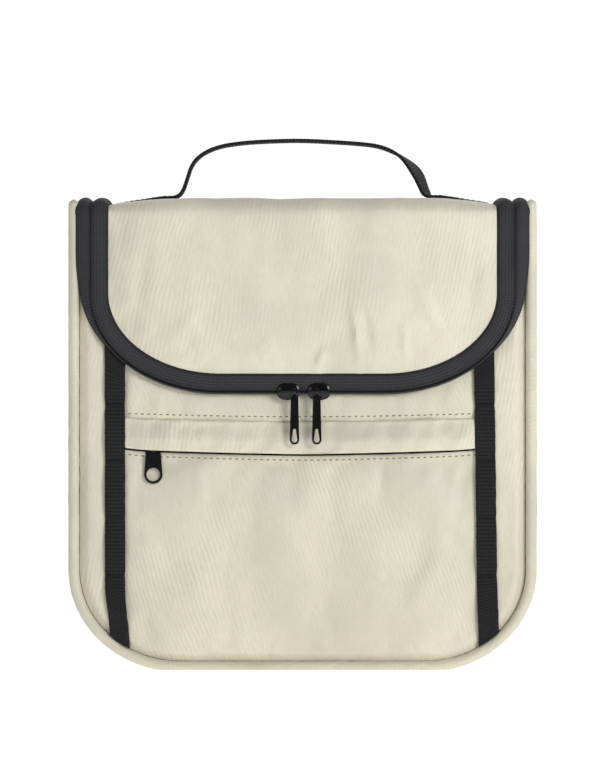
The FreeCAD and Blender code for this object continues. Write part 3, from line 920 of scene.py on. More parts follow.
@dataclass(frozen=True)
class Layout:
    """The bag's main sizes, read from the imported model."""

    top: float
    front_y: float
    back_y: float
    seam_front: float
    seam_back: float
    gusset_y: float
    body: UCurve
    face: UCurve
    lid: UCurve
    fold: Fold

    @classmethod
    def from_frame(cls) -> "Layout":
        """Reads the sizes from the nodes' boxes."""
        gusset_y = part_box("base_gusset")[1].y
        front_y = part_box("pocket_panel")[0].y
        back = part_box("back_panel")[1]
        flap_low, flap_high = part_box("flap_panel")
        lid_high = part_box("lid_top_panel")[1]
        piping, back_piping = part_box("front_piping"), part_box("back_piping")
        piping_top = piping[1].z
        body = UCurve(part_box("base_gusset")[1].x + 1.5 * MM, 0.0, 57 * MM, 51 * MM, piping_top + 1.3 * MM)
        face_y, radius = flap_low.y + 0.3 * MM, 6.5 * MM
        fold = Fold(face_y, lid_high.z - 1.9 * MM, radius, lid_high.y - face_y - radius, half=flap_high.x)
        return cls(
            top=lid_high.z,
            front_y=front_y,
            back_y=back.y,
            seam_front=(piping[0].y + piping[1].y) / 2,
            seam_back=(back_piping[0].y + back_piping[1].y) / 2,
            gusset_y=gusset_y,
            body=body,
            face=replace(body.grown(back.x - body.half).sunk(1.3 * MM), top=piping_top),
            lid=UCurve(flap_high.x, flap_low.z, 57 * MM, 41 * MM, fold.unrolled(lid_high.y)),
            fold=fold,
        )

    @property
    def opening(self) -> UCurve:
        """The edge of the front's cloth round the main zip."""
        return replace(self.lid, top=1.0).grown(10.2 * MM)

    def mouth(self, x: Array) -> Array:
        """Height of the pocket's mouth, which sags in the middle and turns up at both ends."""
        side = np.clip(np.abs(x) / SEAM_X, 0, 1)
        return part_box("pocket_panel")[1].z + 0.6 * MM + 2.4 * MM * side ** 1.4 + 0.9 * MM * side ** 14

    def seam(self, x: Array) -> Array:
        """Height of the seam of the strip above the pocket's zip."""
        side = np.clip(np.abs(x) / SEAM_X, 0, 1)
        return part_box("pocket_placket")[1].z + 1.2 * MM + 1.7 * MM * side ** 2


# ---------------------------------------------------------------- stitching


TO_BACK = Vector((0, 1, 0))
DOWN = Vector((0, 0, -1))
# How far a row of stitches looks for its cloth, to either side.
REACH = 30 * MM


@dataclass(frozen=True)
class Stitching:
    """Rows of short stitches laid on a finished surface."""

    length: float = 1.5 * MM
    gap: float = 1.7 * MM
    thickness: float = 0.6 * MM

    def one(self) -> bpy.types.Object:
        """A single stitch along X: a small rod whose ends are drawn in and dip into the cloth."""
        rod = {"vertices": 6, "radius": self.thickness / 2, "depth": self.length * 0.7}
        obj = primitive("stitch", bpy.ops.mesh.primitive_cylinder_add, **rod)
        with editing(obj):
            for sign in (-1, 1):
                bpy.ops.mesh.select_all(action="DESELECT")
                for face in bmesh.from_edit_mesh(obj.data).faces:
                    face.select_set(face.normal.z * sign > 0.9)
                outwards = {"value": (0, 0, sign * self.length * 0.15)}
                bpy.ops.mesh.extrude_region_move(TRANSFORM_OT_translate=outwards)
                bpy.ops.transform.resize(value=(0.45, 0.45, 1))
            bpy.ops.mesh.select_all(action="SELECT")
            bpy.ops.transform.rotate(value=math.pi / 2, orient_axis="Y", center_override=(0, 0, 0))
        return obj

    def row(
        self, name: str, path: Array, on: Sequence[bpy.types.Object], look: Vector, finish: Finish
    ) -> bpy.types.Object:
        """Lays stitches along a path on a surface.

        Args:
            name: The row's name.
            path: Points along the row, roughly on the surface.
            on: The surfaces that the stitches lie on.
            look: The direction from outside towards the surface.
            finish: The thread.

        Returns:
            One object with every stitch.
        """
        trees = [surface_of(obj) for obj in on]
        run = run_of(path)
        step = self.length + self.gap
        count = max(1, int(run[-1] / step))
        first = (run[-1] - count * step + self.gap) / 2
        model = self.one()
        pieces = []
        for i in range(count):
            ends = []
            for distance in (first + i * step, first + i * step + self.length):
                at = Vector([float(np.interp(distance, run, column)) for column in path.T])
                hits = [t.ray_cast(at - look * REACH, look, 2 * REACH)[0] for t in trees]
                hits = [h for h in hits if h is not None]
                ends.append(min(hits, key=lambda h: h.dot(look)) if hits else at)
            along = (ends[1] - ends[0]).normalized()
            piece = added("stitch", model.data.copy())
            side = look.cross(along).normalized()
            turn = Matrix((along, side, along.cross(side))).transposed().to_4x4()
            middle = (ends[0] + ends[1]) / 2 - look * self.thickness * 0.12
            piece.data.transform(Matrix.Translation(middle) @ turn)
            pieces.append(piece)
        bpy.data.objects.remove(model)
        result = joined(name, pieces)
        smooth(result, 60)
        return dress(result, finish)


# ---------------------------------------------------------------- the tub


@dataclass
class Tub:
    """Front, back, gusset, piping and lining of the bag's body."""

    size: Layout
    cell: float = 3.2 * MM
    cloth: float = 0.8 * MM
    sheets: list[tuple[Sheet, Callable[[], None]]] = field(default_factory=list)
    made: dict[str, bpy.types.Object] = field(default_factory=dict)

    def on_front(self, flat: Array, back: Array | float = 0.0, lift: Array | float = 0.0) -> Array:
        """Lays a sheet on the front, drawn in at its rim, and set back and lifted by these distances."""
        y = self.size.front_y - flat[:, 2] + back + self.rim(flat)
        return np.stack([flat[:, 0], y, flat[:, 1] + lift], 1)

    def rim(self, flat: Array) -> Array:
        """How far the front is drawn in beside its piping."""
        face, depth = self.size.face, 1.9 * MM
        line, _ = face.at(np.linspace(0, face.length, 500))
        gap = np.array([np.hypot(line[:, 0] - x, line[:, 1] - z).min() for x, z in flat[:, :2]])
        return depth * (1 - blend_in(gap, 1.0 * MM, 4.6 * MM))

    def on_yoke(self, flat: Array) -> Array:
        """Lays the yoke, with a groove along its seam."""
        flat = creased(flat, YOKE_CREASES)
        gap = flat[:, 1] - self.size.seam(flat[:, 0])
        return self.on_front(flat, 1.2 * MM * np.exp(-((gap / (0.9 * MM)) ** 2)))

    def on_pocket(self, flat: Array) -> Array:
        """Lays the pocket's face, whose top edge follows the mouth."""
        flat = creased(flat, POCKET_CREASES)
        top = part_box("pocket_panel")[1].z
        lift = (self.size.mouth(flat[:, 0]) - top) * blend_in(flat[:, 1], top - 45 * MM, top)
        return self.on_front(flat, lift=lift)

    def facing_back(self, y: float) -> Place:
        """Lays a sheet upright at depth y, with its height towards the back."""
        return lambda flat: np.stack([flat[:, 0], y + flat[:, 2], flat[:, 1]], 1)

    def round_place(self, curve: UCurve, inwards: bool = False) -> Place:
        """Lays a strip along a U: u follows it and v is the depth. inwards turns its face to the inside."""
        sign = -1 if inwards else 1

        def place(flat: Array) -> Array:
            """Lays the strip's points."""
            points, outward = curve.at(flat[:, 0])
            height = np.maximum(flat[:, 2:3], 0) if inwards else flat[:, 2:3]
            at = points + outward * height * sign
            return np.stack([at[:, 0], flat[:, 1], at[:, 1]], 1)

        return place

    def later(
        self, sheet: Sheet, place: Place, thickness: float, finish: Finish, nodes: Sequence[str]
    ) -> None:
        """Keeps a sheet until the simulation has run, with what is to be done to it then."""

        def done() -> None:
            """Lays, dresses and mounts the piece."""
            obj = dress(sheet.lay(place, thickness), finish)
            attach(obj, "bag")
            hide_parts(*nodes)
            self.made[sheet.name] = obj
            log.info("laid %s", sheet.name)

        self.sheets.append((sheet, done))

    def cut_front(self) -> None:
        """The pocket's face, the yoke and the two side panels."""
        opening = self.size.opening
        whole = Sheet.rounded("front_whole", self.size.face, self.cell)
        top, yoke_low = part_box("pocket_panel")[1].z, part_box("front_yoke")[0].z
        pocket = whole.copy("pocket_face").clip(0, -SEAM_X, 1).clip(0, SEAM_X, -1).clip(1, top, -1)
        pocket.tuck = 0.5 * MM
        pocket.crown(1.4 * MM, 26 * MM, 1.3 * MM, 3.0, 0.6 * MM).loosen(1.6, 0.008, 2.2 * MM)
        self.later(pocket, self.on_pocket, self.cloth, Finish.FRONT, ["pocket_panel"])
        yoke = whole.copy("yoke_cloth").clip(0, -SEAM_X, 1).clip(0, SEAM_X, -1).clip(1, yoke_low, 1)
        yoke.trim(lambda x, z: not opening.holds(x, z)).snap(opening, 3 * MM)
        yoke.crown(0.5 * MM, 8 * MM, 0.9 * MM, 7.0, 0.9 * MM).loosen(1.2, 0.008, 1.4 * MM)
        self.later(yoke, self.on_yoke, self.cloth, Finish.FRONT, ["front_yoke"])
        for side, name in ((-1, "left"), (1, "right")):
            panel = whole.copy(f"{name}_side_cloth").clip(0, side * SEAM_X, side)
            panel.trim(lambda x, z: not opening.holds(x, z)).snap(opening, 3 * MM)
            panel.crown(0.6 * MM, 8 * MM, 0.9 * MM, 11.0 + side, 1.0 * MM).loosen(1.2, 0.012, 1.6 * MM)
            self.later(panel, self.on_front, self.cloth, Finish.OUTER, [f"{name}_front_panel"])
        bpy.data.objects.remove(whole.obj)

    def cut_back(self) -> None:
        """The padded back."""
        back = Sheet.rounded("back_cloth", self.size.face, self.cell * 1.2)
        back.crown(2.2 * MM, 30 * MM, 1.0 * MM, 21.0, 0.5 * MM).loosen(1.6, 0.006, 2.5 * MM)
        self.later(back, self.facing_back(self.size.back_y), self.cloth, Finish.OUTER, ["back_panel"])

    def cut_gusset(self) -> None:
        """The strip round both sides and the base."""
        size = self.size
        curve = replace(size.body.grown(-1.5 * MM), bottom=0.0, top=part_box("left_gusset")[1].z)
        depth = (-size.gusset_y, size.gusset_y)
        strip = Sheet.strip("gusset_cloth", (0, curve.length), depth, (4 * MM, 4 * MM))
        strip.crown(0.5 * MM, 14 * MM, 0.4 * MM, 31.0, 0.3 * MM).loosen(0.9, 0.006, 0.8 * MM)
        nodes = ["left_gusset", "right_gusset", "base_gusset"]
        rolled = self.round_place(curve)

        def place(flat: Array) -> Array:
            """Lays the strip, and keeps its base from sinking below the ground."""
            return np.maximum(rolled(flat), [-np.inf, -np.inf, 0.0])

        self.later(strip, place, 1.6 * MM, Finish.OUTER, nodes)

    def cut_lining(self) -> None:
        """The lining of the sides and base, of the back, and the sheet behind the pocket."""
        size = self.size
        low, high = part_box("base_lining")
        curve = replace(size.body.grown(high.x - size.body.half), top=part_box("left_lining")[1].z)
        strip = Sheet.strip("tub_lining", (0, curve.length), (low.y, high.y), (4.5 * MM, 4.5 * MM))
        strip.tuck = 0.0
        strip.crown(0.0, 10 * MM, 0.5 * MM, 41.0).loosen(0.6, 0.012, 1.0 * MM)
        nodes = ["base_lining", "left_lining", "right_lining"]
        self.later(strip, self.round_place(curve.grown(-0.2 * MM), True), 0.4 * MM, Finish.LINING, nodes)
        inner = curve.grown(-0.5 * MM)
        back = Sheet.rounded("back_lining_cloth", inner, self.cell * 1.5)
        back.tuck = 0.0
        back.crown(0.2 * MM, 12 * MM, 0.5 * MM, 43.0).loosen(0.6, 0.01, 1.0 * MM)
        back_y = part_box("back_lining")[0].y

        def inside(flat: Array) -> Array:
            """Lays the back's lining, which faces forwards."""
            return np.stack([flat[:, 0], back_y - np.maximum(flat[:, 2], 0), flat[:, 1]], 1)

        self.later(back, inside, 0.35 * MM, Finish.LINING, ["back_lining"])
        opening = size.opening
        pocket = Sheet.rounded("pocket_back_cloth", inner, self.cell * 1.3)
        pocket.trim(lambda x, z: not opening.holds(x, z)).snap(opening, 4 * MM)
        pocket.tuck = 0.0
        pocket.crown(0.0, 12 * MM, 0.4 * MM, 45.0).loosen(0.3, 0.008, 0.7 * MM)
        behind = self.facing_back(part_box("pocket_back")[1].y)
        self.later(pocket, behind, 0.5 * MM, Finish.LINING, ["pocket_back"])

    def cut_bindings(self) -> None:
        """Tape folded round the raw edges of both inside seams."""
        for name in ("front_seam_binding", "back_seam_binding"):
            low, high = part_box(name)
            curve = replace(self.size.body.grown(high.x - 0.4 * MM - self.size.body.half), top=high.z)
            strip = Sheet.strip(f"{name}_tape", (0, curve.length), (low.y, high.y), (3 * MM, 1 * MM))
            strip.crown(0.35 * MM, 1.5 * MM, 0.15 * MM, 51.0)
            obj = strip.lay(self.round_place(curve, True), 0.6 * MM)
            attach(dress(obj, Finish.BINDING), "bag")
            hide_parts(name)

    def sew_piping(self) -> None:
        """Covered cord round the front and back faces."""
        radius = 2.9 * MM
        around = 2 * math.pi * radius
        curve = self.size.body.grown(-radius).sunk(1.2 * MM)
        for name, y in (("front_piping", self.size.seam_front), ("back_piping", self.size.seam_back)):
            tube = Sheet.strip(f"{name}_cord", (0, curve.length), (0, around), (2.5 * MM, around / 14))

            def place(flat: Array, y: float = y) -> Array:
                """Rolls the strip round the cord, with the twist wrinkles of its cover and rounded ends."""
                points, outward = curve.at(flat[:, 0])
                angle = flat[:, 1] / radius
                slanted = np.stack([flat[:, 0] + 2.2 * flat[:, 1], 0 * angle, y + 0 * angle], 1)
                full = radius + wobble(slanted, 0.22 * MM, 5 * MM, 3.0) - 0.1 * MM
                end = np.clip(np.minimum(flat[:, 0], curve.length - flat[:, 0]) / radius, 0, 1)
                full = full * (0.25 + 0.75 * np.sqrt(1 - (1 - end) ** 2))
                at = points + outward * (full * np.cos(angle))[:, None]
                return np.stack([at[:, 0], y + full * np.sin(angle), np.maximum(at[:, 1], 0.0)], 1)

            obj = tube.lay(place, 0.0, 1)
            close_tube(obj)
            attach(dress(obj, Finish.PIPING), "bag")
            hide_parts(name)
            self.made[name] = obj
            log.info("sewed %s", name)


# ---------------------------------------------------------------- placket, webbing and pocket zip


@dataclass
class Front:
    """What is sewn on the front: placket, webbing strips and the pocket's zip."""

    size: Layout
    turn_in: float = 1.2 * MM

    def placket(self) -> Sheet:
        """Cuts the strip over the pocket zip."""
        low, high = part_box("pocket_placket")
        width = high.z - low.z + self.turn_in
        sheet = Sheet.strip("placket_cloth", (-92 * MM, 92 * MM), (0, width), (3 * MM, 1.3 * MM))
        sheet.tuck = 0.0
        return sheet.crown(0.25 * MM, 5 * MM, 0.7 * MM, 61.0, 0.6 * MM).loosen(0.8, 0.006, 0.8 * MM)

    def on_placket(self, flat: Array) -> Array:
        """Lays the strip: v runs up to its seam. It bellies out over the zip, and its lower edge turns in."""
        low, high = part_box("pocket_placket")
        length = high.z - low.z
        flat = creased(flat, PLACKET_CREASES)
        share = (length + self.turn_in - flat[:, 1]) / length
        full = 1 - 0.85 * blend_in(np.abs(flat[:, 0]), 80 * MM, 90 * MM)
        out = -0.9 * MM + 2.0 * MM * blend_in(share, -0.02, 0.055)
        out += 2.4 * MM * full * blend_in(share, 0.05, 0.7)
        out -= 0.7 * MM * blend_in(share, 0.93, 1.08)
        top = self.size.seam(flat[:, 0])
        edge = self.size.mouth(flat[:, 0]) + 0.9 * MM
        z = top + (edge - top) * np.minimum(share, 1.0) + 0.3 * MM * np.maximum(share - 1, 0) / 0.08
        return np.stack([flat[:, 0], self.size.front_y - out - flat[:, 2], z], 1)

    def webbing(self) -> None:
        """Two strips with a loop between each pair of bar tacks. Each leans, and hooks aside at its foot."""
        leans = {"left": (-1.6 * MM, -1.4 * MM, 2.2 * MM), "right": (-1.6 * MM, 0.4 * MM, 0.5 * MM)}
        for name, (lean_top, lean_foot, hook) in leans.items():
            low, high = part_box(f"{name}_webbing")
            tack_low, tack_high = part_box(f"{name}_bar_tacks")
            tacks = np.linspace(tack_low.z + 1 * MM, tack_high.z - 1 * MM, 4)
            width = high.x - low.x
            middle = (low.x + high.x) / 2
            strip = Sheet.strip(f"{name}_webbing_strip", (low.z, high.z), (0, width), (1.6 * MM, 1.3 * MM))

            def place(flat: Array) -> Array:
                """Lays the strip: it bows out between its tacks and is drawn in at each one."""
                z = flat[:, 0]
                gap = np.abs(z[:, None] - tacks[None]).min(1)
                across = flat[:, 1] / width * 2 - 1
                pinch = 1 - 0.035 * np.exp(-((gap / (2.2 * MM)) ** 2))
                share = (z - low.z) / (high.z - low.z)
                centre = middle + lean_top * share + lean_foot * (1 - share)
                centre += hook * (1 - blend_in(share, 0, 0.2))
                ragged = wobble(np.stack([z, np.sign(across) * 0.01, 0 * z], 1), 0.16 * MM, 4 * MM, 9.0)
                x = centre + across * (width / 2) * pinch + ragged * np.abs(across)
                return self.on_strip(x, z, flat[:, 2] - 0.35 * MM * np.abs(across) ** 6, gap, (low.z, high.z))

            obj = dress(strip.lay(place, 1.2 * MM), Finish.WEBBING)
            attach(obj, "bag")
            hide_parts(f"{name}_webbing")
            self.tack(name, tacks, middle + lean_top * 0.4 + lean_foot * 0.6, width, obj)

    def on_strip(self, x: Array, z: Array, height: Array, gap: Array, ends: Pair) -> Array:
        """Lays points of a webbing strip, whose ends follow the face's seam below and the zip above.

        Args:
            x: Where the points are across the bag.
            z: Their heights along the straight strip.
            height: How far they stand out of it.
            gap: Their distances from the nearest tack.
            ends: The straight strip's lower and upper end.

        Returns:
            Rows of x, y and z.
        """
        low, high = ends
        bow = 0.8 * MM * blend_in(gap, 0, 11 * MM) * blend_in(z, low, low + 20 * MM)
        y = self.size.front_y - 1.9 * MM - bow - height
        y += 1.2 * MM * (1 - blend_in(z, low, low + 16 * MM)) + 0.9 * MM * blend_in(z, high - 14 * MM, high)
        seam, zip_edge = self.size.face.floor_at(x), self.size.lid.grown(10.4 * MM).floor_at(x)
        z = z + (seam - low) * (1 - blend_in(z, low, low + 45 * MM))
        z = z + (zip_edge - high) * blend_in(z, high - 20 * MM, high)
        return np.stack([x, y, z], 1)

    def tack(self, name: str, tacks: Array, centre: float, width: float, strip: bpy.types.Object) -> None:
        """Dense stitching across a webbing strip, at each tack."""
        sewing = Stitching(length=1.9 * MM, gap=0.1 * MM, thickness=0.62 * MM)
        y, half, tall = self.size.front_y, width / 2 - 0.8 * MM, 1.1 * MM
        rows = []
        for z in tacks:
            for x in np.linspace(centre - half, centre + half, 12):
                path = np.array([[x, y, z - tall], [x, y, z + tall]])
                rows.append(sewing.row("tack", path, [strip], TO_BACK, Finish.THREAD))
        obj = joined(f"{name}_tack_stitches", rows)
        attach(obj, "bag")
        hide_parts(f"{name}_bar_tacks")
        log.info("tacked the %s webbing", name)

    def pocket_zip(self) -> None:
        """Tapes and coils behind the placket."""
        for which, name in ((1, "pocket_zip_upper_tape"), (-1, "pocket_zip_lower_tape")):
            low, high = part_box(name)
            strip = Sheet.strip(f"{name}_cloth", (low.x, high.x), (low.z, high.z), (3 * MM, 1.5 * MM))
            strip.crown(0.1 * MM, 3 * MM, 0.1 * MM, 71.0 + which)

            def place(flat: Array, y: float = low.y + 0.3 * MM) -> Array:
                """Lays the tape."""
                return np.stack([flat[:, 0], y - flat[:, 2] * 0.5, flat[:, 1]], 1)

            obj = dress(strip.lay(place, 0.5 * MM), Finish.TAPE)
            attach(obj, "bag")
            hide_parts(name)
        low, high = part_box("pocket_zip_coils")
        middle = (low + high) / 2
        rows = []
        for sign in (-1, 1):

            def route(s: Array, z: float = middle.z + sign * 1.3 * MM) -> Array:
                """The row's straight line."""
                return np.stack([s, np.full_like(s, middle.y), np.full_like(s, z)], 1)

            rows.append(coil(f"row{sign}", low.x, high.x, route, 0.52 * MM))
        obj = dress(joined("pocket_coil_rows", rows), Finish.COIL)
        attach(obj, "bag")
        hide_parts("pocket_zip_coils")


def coil(
    name: str, start: float, end: float, route: Callable[[Array], Array], radius: float
) -> bpy.types.Object:
    """A row of coil turns along a route: a tube whose radius swells at each turn.

    Args:
        name: The row's name.
        start: Distance along the route at which it begins.
        end: Distance at which it ends.
        route: Points by distance.
        radius: The turns' radius.

    Returns:
        The tube, closed at both ends.
    """
    pitch = 1.3 * MM
    around = 2 * math.pi * radius
    tube = Sheet.strip(name, (start, end), (0, around), (pitch / 3, around / 6))

    def place(flat: Array) -> Array:
        """Rolls the strip round the route."""
        at = route(flat[:, 0])
        along = route(flat[:, 0] + 0.3 * MM) - route(flat[:, 0] - 0.3 * MM)
        along /= np.linalg.norm(along, axis=1, keepdims=True)
        side = np.cross(along, np.array([[0.3, 0.2, 1.0]]))
        steep = np.linalg.norm(side, axis=1) < 0.3
        side[steep] = np.cross(along[steep], np.array([[1.0, 0.2, 0.1]]))
        side /= np.linalg.norm(side, axis=1, keepdims=True)
        up = np.cross(side, along)
        angle = (flat[:, 1] / radius)[:, None]
        full = (radius * (0.82 + 0.18 * np.cos(flat[:, 0] / pitch * 2 * math.pi)))[:, None]
        return at + side * np.cos(angle) * full + up * np.sin(angle) * full

    obj = tube.lay(place, 0.0, 0)
    close_tube(obj)
    return obj


# ---------------------------------------------------------------- the lid and its zip


@dataclass
class Lid:
    """The lid's cloth, its lining, its hinge strip and the main zip."""

    size: Layout
    cell: float = 3.2 * MM
    thickness: float = 2.4 * MM
    start: tuple[float, float, float] = (0.0, -40.0 * MM, 240.0 * MM)
    end: tuple[float, float, float] = (0.0, -52.0 * MM, 228.0 * MM)
    coil_end: float = 4 * MM

    def bend(self, obj: bpy.types.Object) -> None:
        """Bakes the piece's transform into its mesh."""
        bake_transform(obj)

    def cut_cloth(self) -> Sheet:
        """The lid's outer cloth, from its seam at the back to the zip in front."""
        sheet = Sheet.rounded("lid_cloth", self.size.lid, self.cell)
        sheet.tuck = 0.1 * MM
        return sheet.crown(2.6 * MM, 42 * MM, 1.3 * MM, 81.0, 0.8 * MM).loosen(1.5, 0.008, 1.6 * MM)

    def lay_cloth(self, sheet: Sheet) -> bpy.types.Object:
        """Lays the outer cloth over the fold."""
        fold = self.size.fold

        def place(flat: Array) -> Array:
            """Lays the cloth, which is pulled flatter on top than in front."""
            flat = creased(flat, LID_CREASES)
            height = np.maximum(flat[:, 2], -0.1 * MM)
            return fold.place(flat[:, 0], flat[:, 1], height * (1 - 0.55 * fold.on_top(flat[:, 1])))

        obj = dress(sheet.lay(place, self.thickness), Finish.OUTER)
        self.bend(obj)
        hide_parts("lid_top_panel", "flap_panel", "lid_top_foam", "flap_foam")
        return obj

    def cut_lining(self) -> Sheet:
        """The lid's lining."""
        sheet = Sheet.rounded("lid_lining_cloth", self.size.lid.grown(-1.0 * MM), self.cell * 1.4)
        sheet.tuck = 0.0
        return sheet.crown(0.1 * MM, 12 * MM, 0.4 * MM, 91.0).loosen(0.4, 0.008, 0.8 * MM)

    def lay_lining(self, sheet: Sheet) -> bpy.types.Object:
        """Lays the lining inside the lid, with its face inwards."""

        def place(flat: Array) -> Array:
            """Lays the lining behind the cloth."""
            return self.size.fold.place(flat[:, 0], flat[:, 1], -np.maximum(flat[:, 2], 0) - 2.75 * MM)

        obj = dress(sheet.lay(place, 0.35 * MM), Finish.LINING)
        self.bend(obj)
        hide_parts("lid_top_lining", "flap_lining")
        return obj

    def lid_tape(self) -> None:
        """The zip's tape and coil on the lid's side, and the binding of its seam."""
        curve, fold, width = self.size.lid, self.size.fold, 8.75 * MM
        strip = Sheet.strip("lid_zip_tape", (0, curve.length), (-3 * MM, width), (2.4 * MM, 1.2 * MM))

        def place(flat: Array) -> Array:
            """Lays the tape: sewn under the cloth, rounded in its middle."""
            points, outward = curve.at(flat[:, 0])
            at = points + outward * flat[:, 1:2]
            on_top = fold.on_top(at[:, 1])
            raised = blend_in(at[:, 1], curve.bottom - 4 * MM, curve.bottom + 30 * MM)
            bulge = np.sin(math.pi * np.clip(flat[:, 1] / width, 0, 1))
            under = 1.3 * MM * blend_in(-flat[:, 1], -1.2 * MM, 1 * MM)
            rise = (0.3 + 0.6 * raised + 2.2 * on_top) * MM * bulge ** 0.6 - under
            uneven = wobble(flat * [1, 1, 0], 0.3 * MM, 14 * MM, 13.0)
            return fold.place(at[:, 0], at[:, 1], rise - 0.1 * MM + uneven * bulge * (0.3 + 0.7 * raised))

        obj = dress(strip.lay(place, 0.6 * MM), Finish.TAPE)
        self.bend(obj)
        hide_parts("lid_top_zip_tapes", "flap_zip_tape")
        turns = self.turns("lid_zip_coil", 8.25 * MM, -1.15 * MM, 0.46 * MM)
        self.bend(turns)
        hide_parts("lid_top_zip_coils", "flap_zip_coil")
        ends = (60 * MM, curve.length - 60 * MM)
        binding = Sheet.strip("flap_binding_tape", ends, (-1 * MM, 3 * MM), (3 * MM, 1 * MM))
        obj = binding.lay(lambda flat: self.along(flat[:, 0], flat[:, 1], -2.6 * MM), 0.5 * MM)
        self.bend(dress(obj, Finish.BINDING))
        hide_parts("flap_seam_binding")

    def turns(self, name: str, offset: float, height: float, radius: float) -> bpy.types.Object:
        """A row of the main zip's coil, by its offset from the lid's edge and its height."""
        ends = (self.coil_end, self.size.lid.length - self.coil_end)
        row = coil(name, *ends, lambda distance: self.along(distance, offset, height), radius)
        return dress(row, Finish.COIL)

    def along(self, distance: Array, offset: Array | float, height: Array | float) -> Array:
        """Points beside the lid's edge, by distance along it, offset outwards and height."""
        points, outward = self.size.lid.at(distance)
        at = points + outward * np.broadcast_to(offset, distance.shape)[:, None]
        return self.size.fold.place(at[:, 0], at[:, 1], np.broadcast_to(height, distance.shape))

    def tub_tape(self) -> None:
        """The zip's tape and coil on the tub's side, facing forwards at the top and turned under below."""
        curve, fold = self.size.lid, self.size.fold
        inner, width = 9.2 * MM, 9 * MM
        strip = Sheet.strip("tub_zip_tape", (0, curve.length), (0, width), (2.4 * MM, 1.1 * MM))

        def place(flat: Array) -> Array:
            """Lays the tape between its rail beside the zip and its rail on the tub."""
            height = curve.at(flat[:, 0])[0][:, 1]
            raised = blend_in(height, curve.bottom + 10 * MM, curve.bottom + 62 * MM)
            on_top = blend_in(height, fold.start, fold.start + 12 * MM)
            share = flat[:, 1] / width
            outer = 9.9 * MM + 6.3 * MM * raised + 0.7 * MM * on_top
            deep = -4.6 * MM + 0.9 * MM * raised + 3.0 * MM * on_top
            bulge = np.sin(math.pi * share)
            fullness = (1.8 * raised + 2.0 * on_top) * MM
            rise = -0.35 * MM + deep * share + fullness * np.maximum(bulge, 0) ** 0.7
            uneven = wobble(flat * [1, 1, 0], 0.35 * MM, 12 * MM, 23.0)
            return self.along(flat[:, 0], inner + (outer - inner) * share, rise + uneven * bulge)

        obj = dress(strip.lay(place, 0.6 * MM), Finish.TAPE)
        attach(obj, "bag")
        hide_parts("body_front_zip_tape", "body_top_zip_tapes")
        turns = self.turns("tub_zip_coil", 9.35 * MM, -1.55 * MM, 0.42 * MM)
        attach(turns, "bag")
        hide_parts("body_front_zip_coil", "body_top_zip_coils")

    def hinge_strip(self) -> None:
        """The strip of cloth that the lid turns on, from the back's top edge to the lid."""
        top, width = self.size.top, 9 * MM
        low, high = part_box("hinge_tape")
        strip = Sheet.strip("hinge_cloth", (low.x, high.x), (0, width), (4 * MM, 0.9 * MM))

        def place(flat: Array) -> Array:
            """Rolls the strip over the back's top edge."""
            angle = flat[:, 1] / width * math.pi * 0.9 - 0.35
            radius = 1.9 * MM + wobble(flat * [1, 0, 0], 0.2 * MM, 12 * MM, 33.0)
            y = high.y - 1.5 * MM + radius * np.cos(angle)
            return np.stack([flat[:, 0], y, top - 1.6 * MM + radius * np.sin(angle)], 1)

        obj = dress(strip.lay(place, 0.6 * MM), Finish.OUTER)
        start, end = (0, high.y, top - 1.5 * MM), (0, high.y - 3.2 * MM, top + 0.2 * MM)
        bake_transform(obj)
        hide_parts("hinge_tape")

    def end_tabs(self) -> None:
        """Folded tabs over the zip's ends at the back."""
        high, side_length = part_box("zip_end_tabs")[1], 12 * MM

        def place(flat: Array) -> Array:
            """Folds a tab over the tapes' ends."""
            angle = flat[:, 1] / side_length * math.pi
            y = high.y - 2.6 * MM + 2.9 * MM * np.sin(angle)
            return np.stack([flat[:, 0], y, self.size.top - 1.6 * MM + 2.6 * MM * np.cos(angle)], 1)

        inner = high.x - side_length
        tabs = [
            Sheet.strip("tab", span, (0, side_length), (1.2 * MM, 1.2 * MM)).lay(place, 0.6 * MM)
            for span in ((-high.x, -inner), (inner, high.x))
        ]
        obj = dress(joined("zip_tab_cloth", tabs), Finish.BINDING)
        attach(obj, "bag")
        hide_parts("zip_end_tabs")


# ---------------------------------------------------------------- the strap


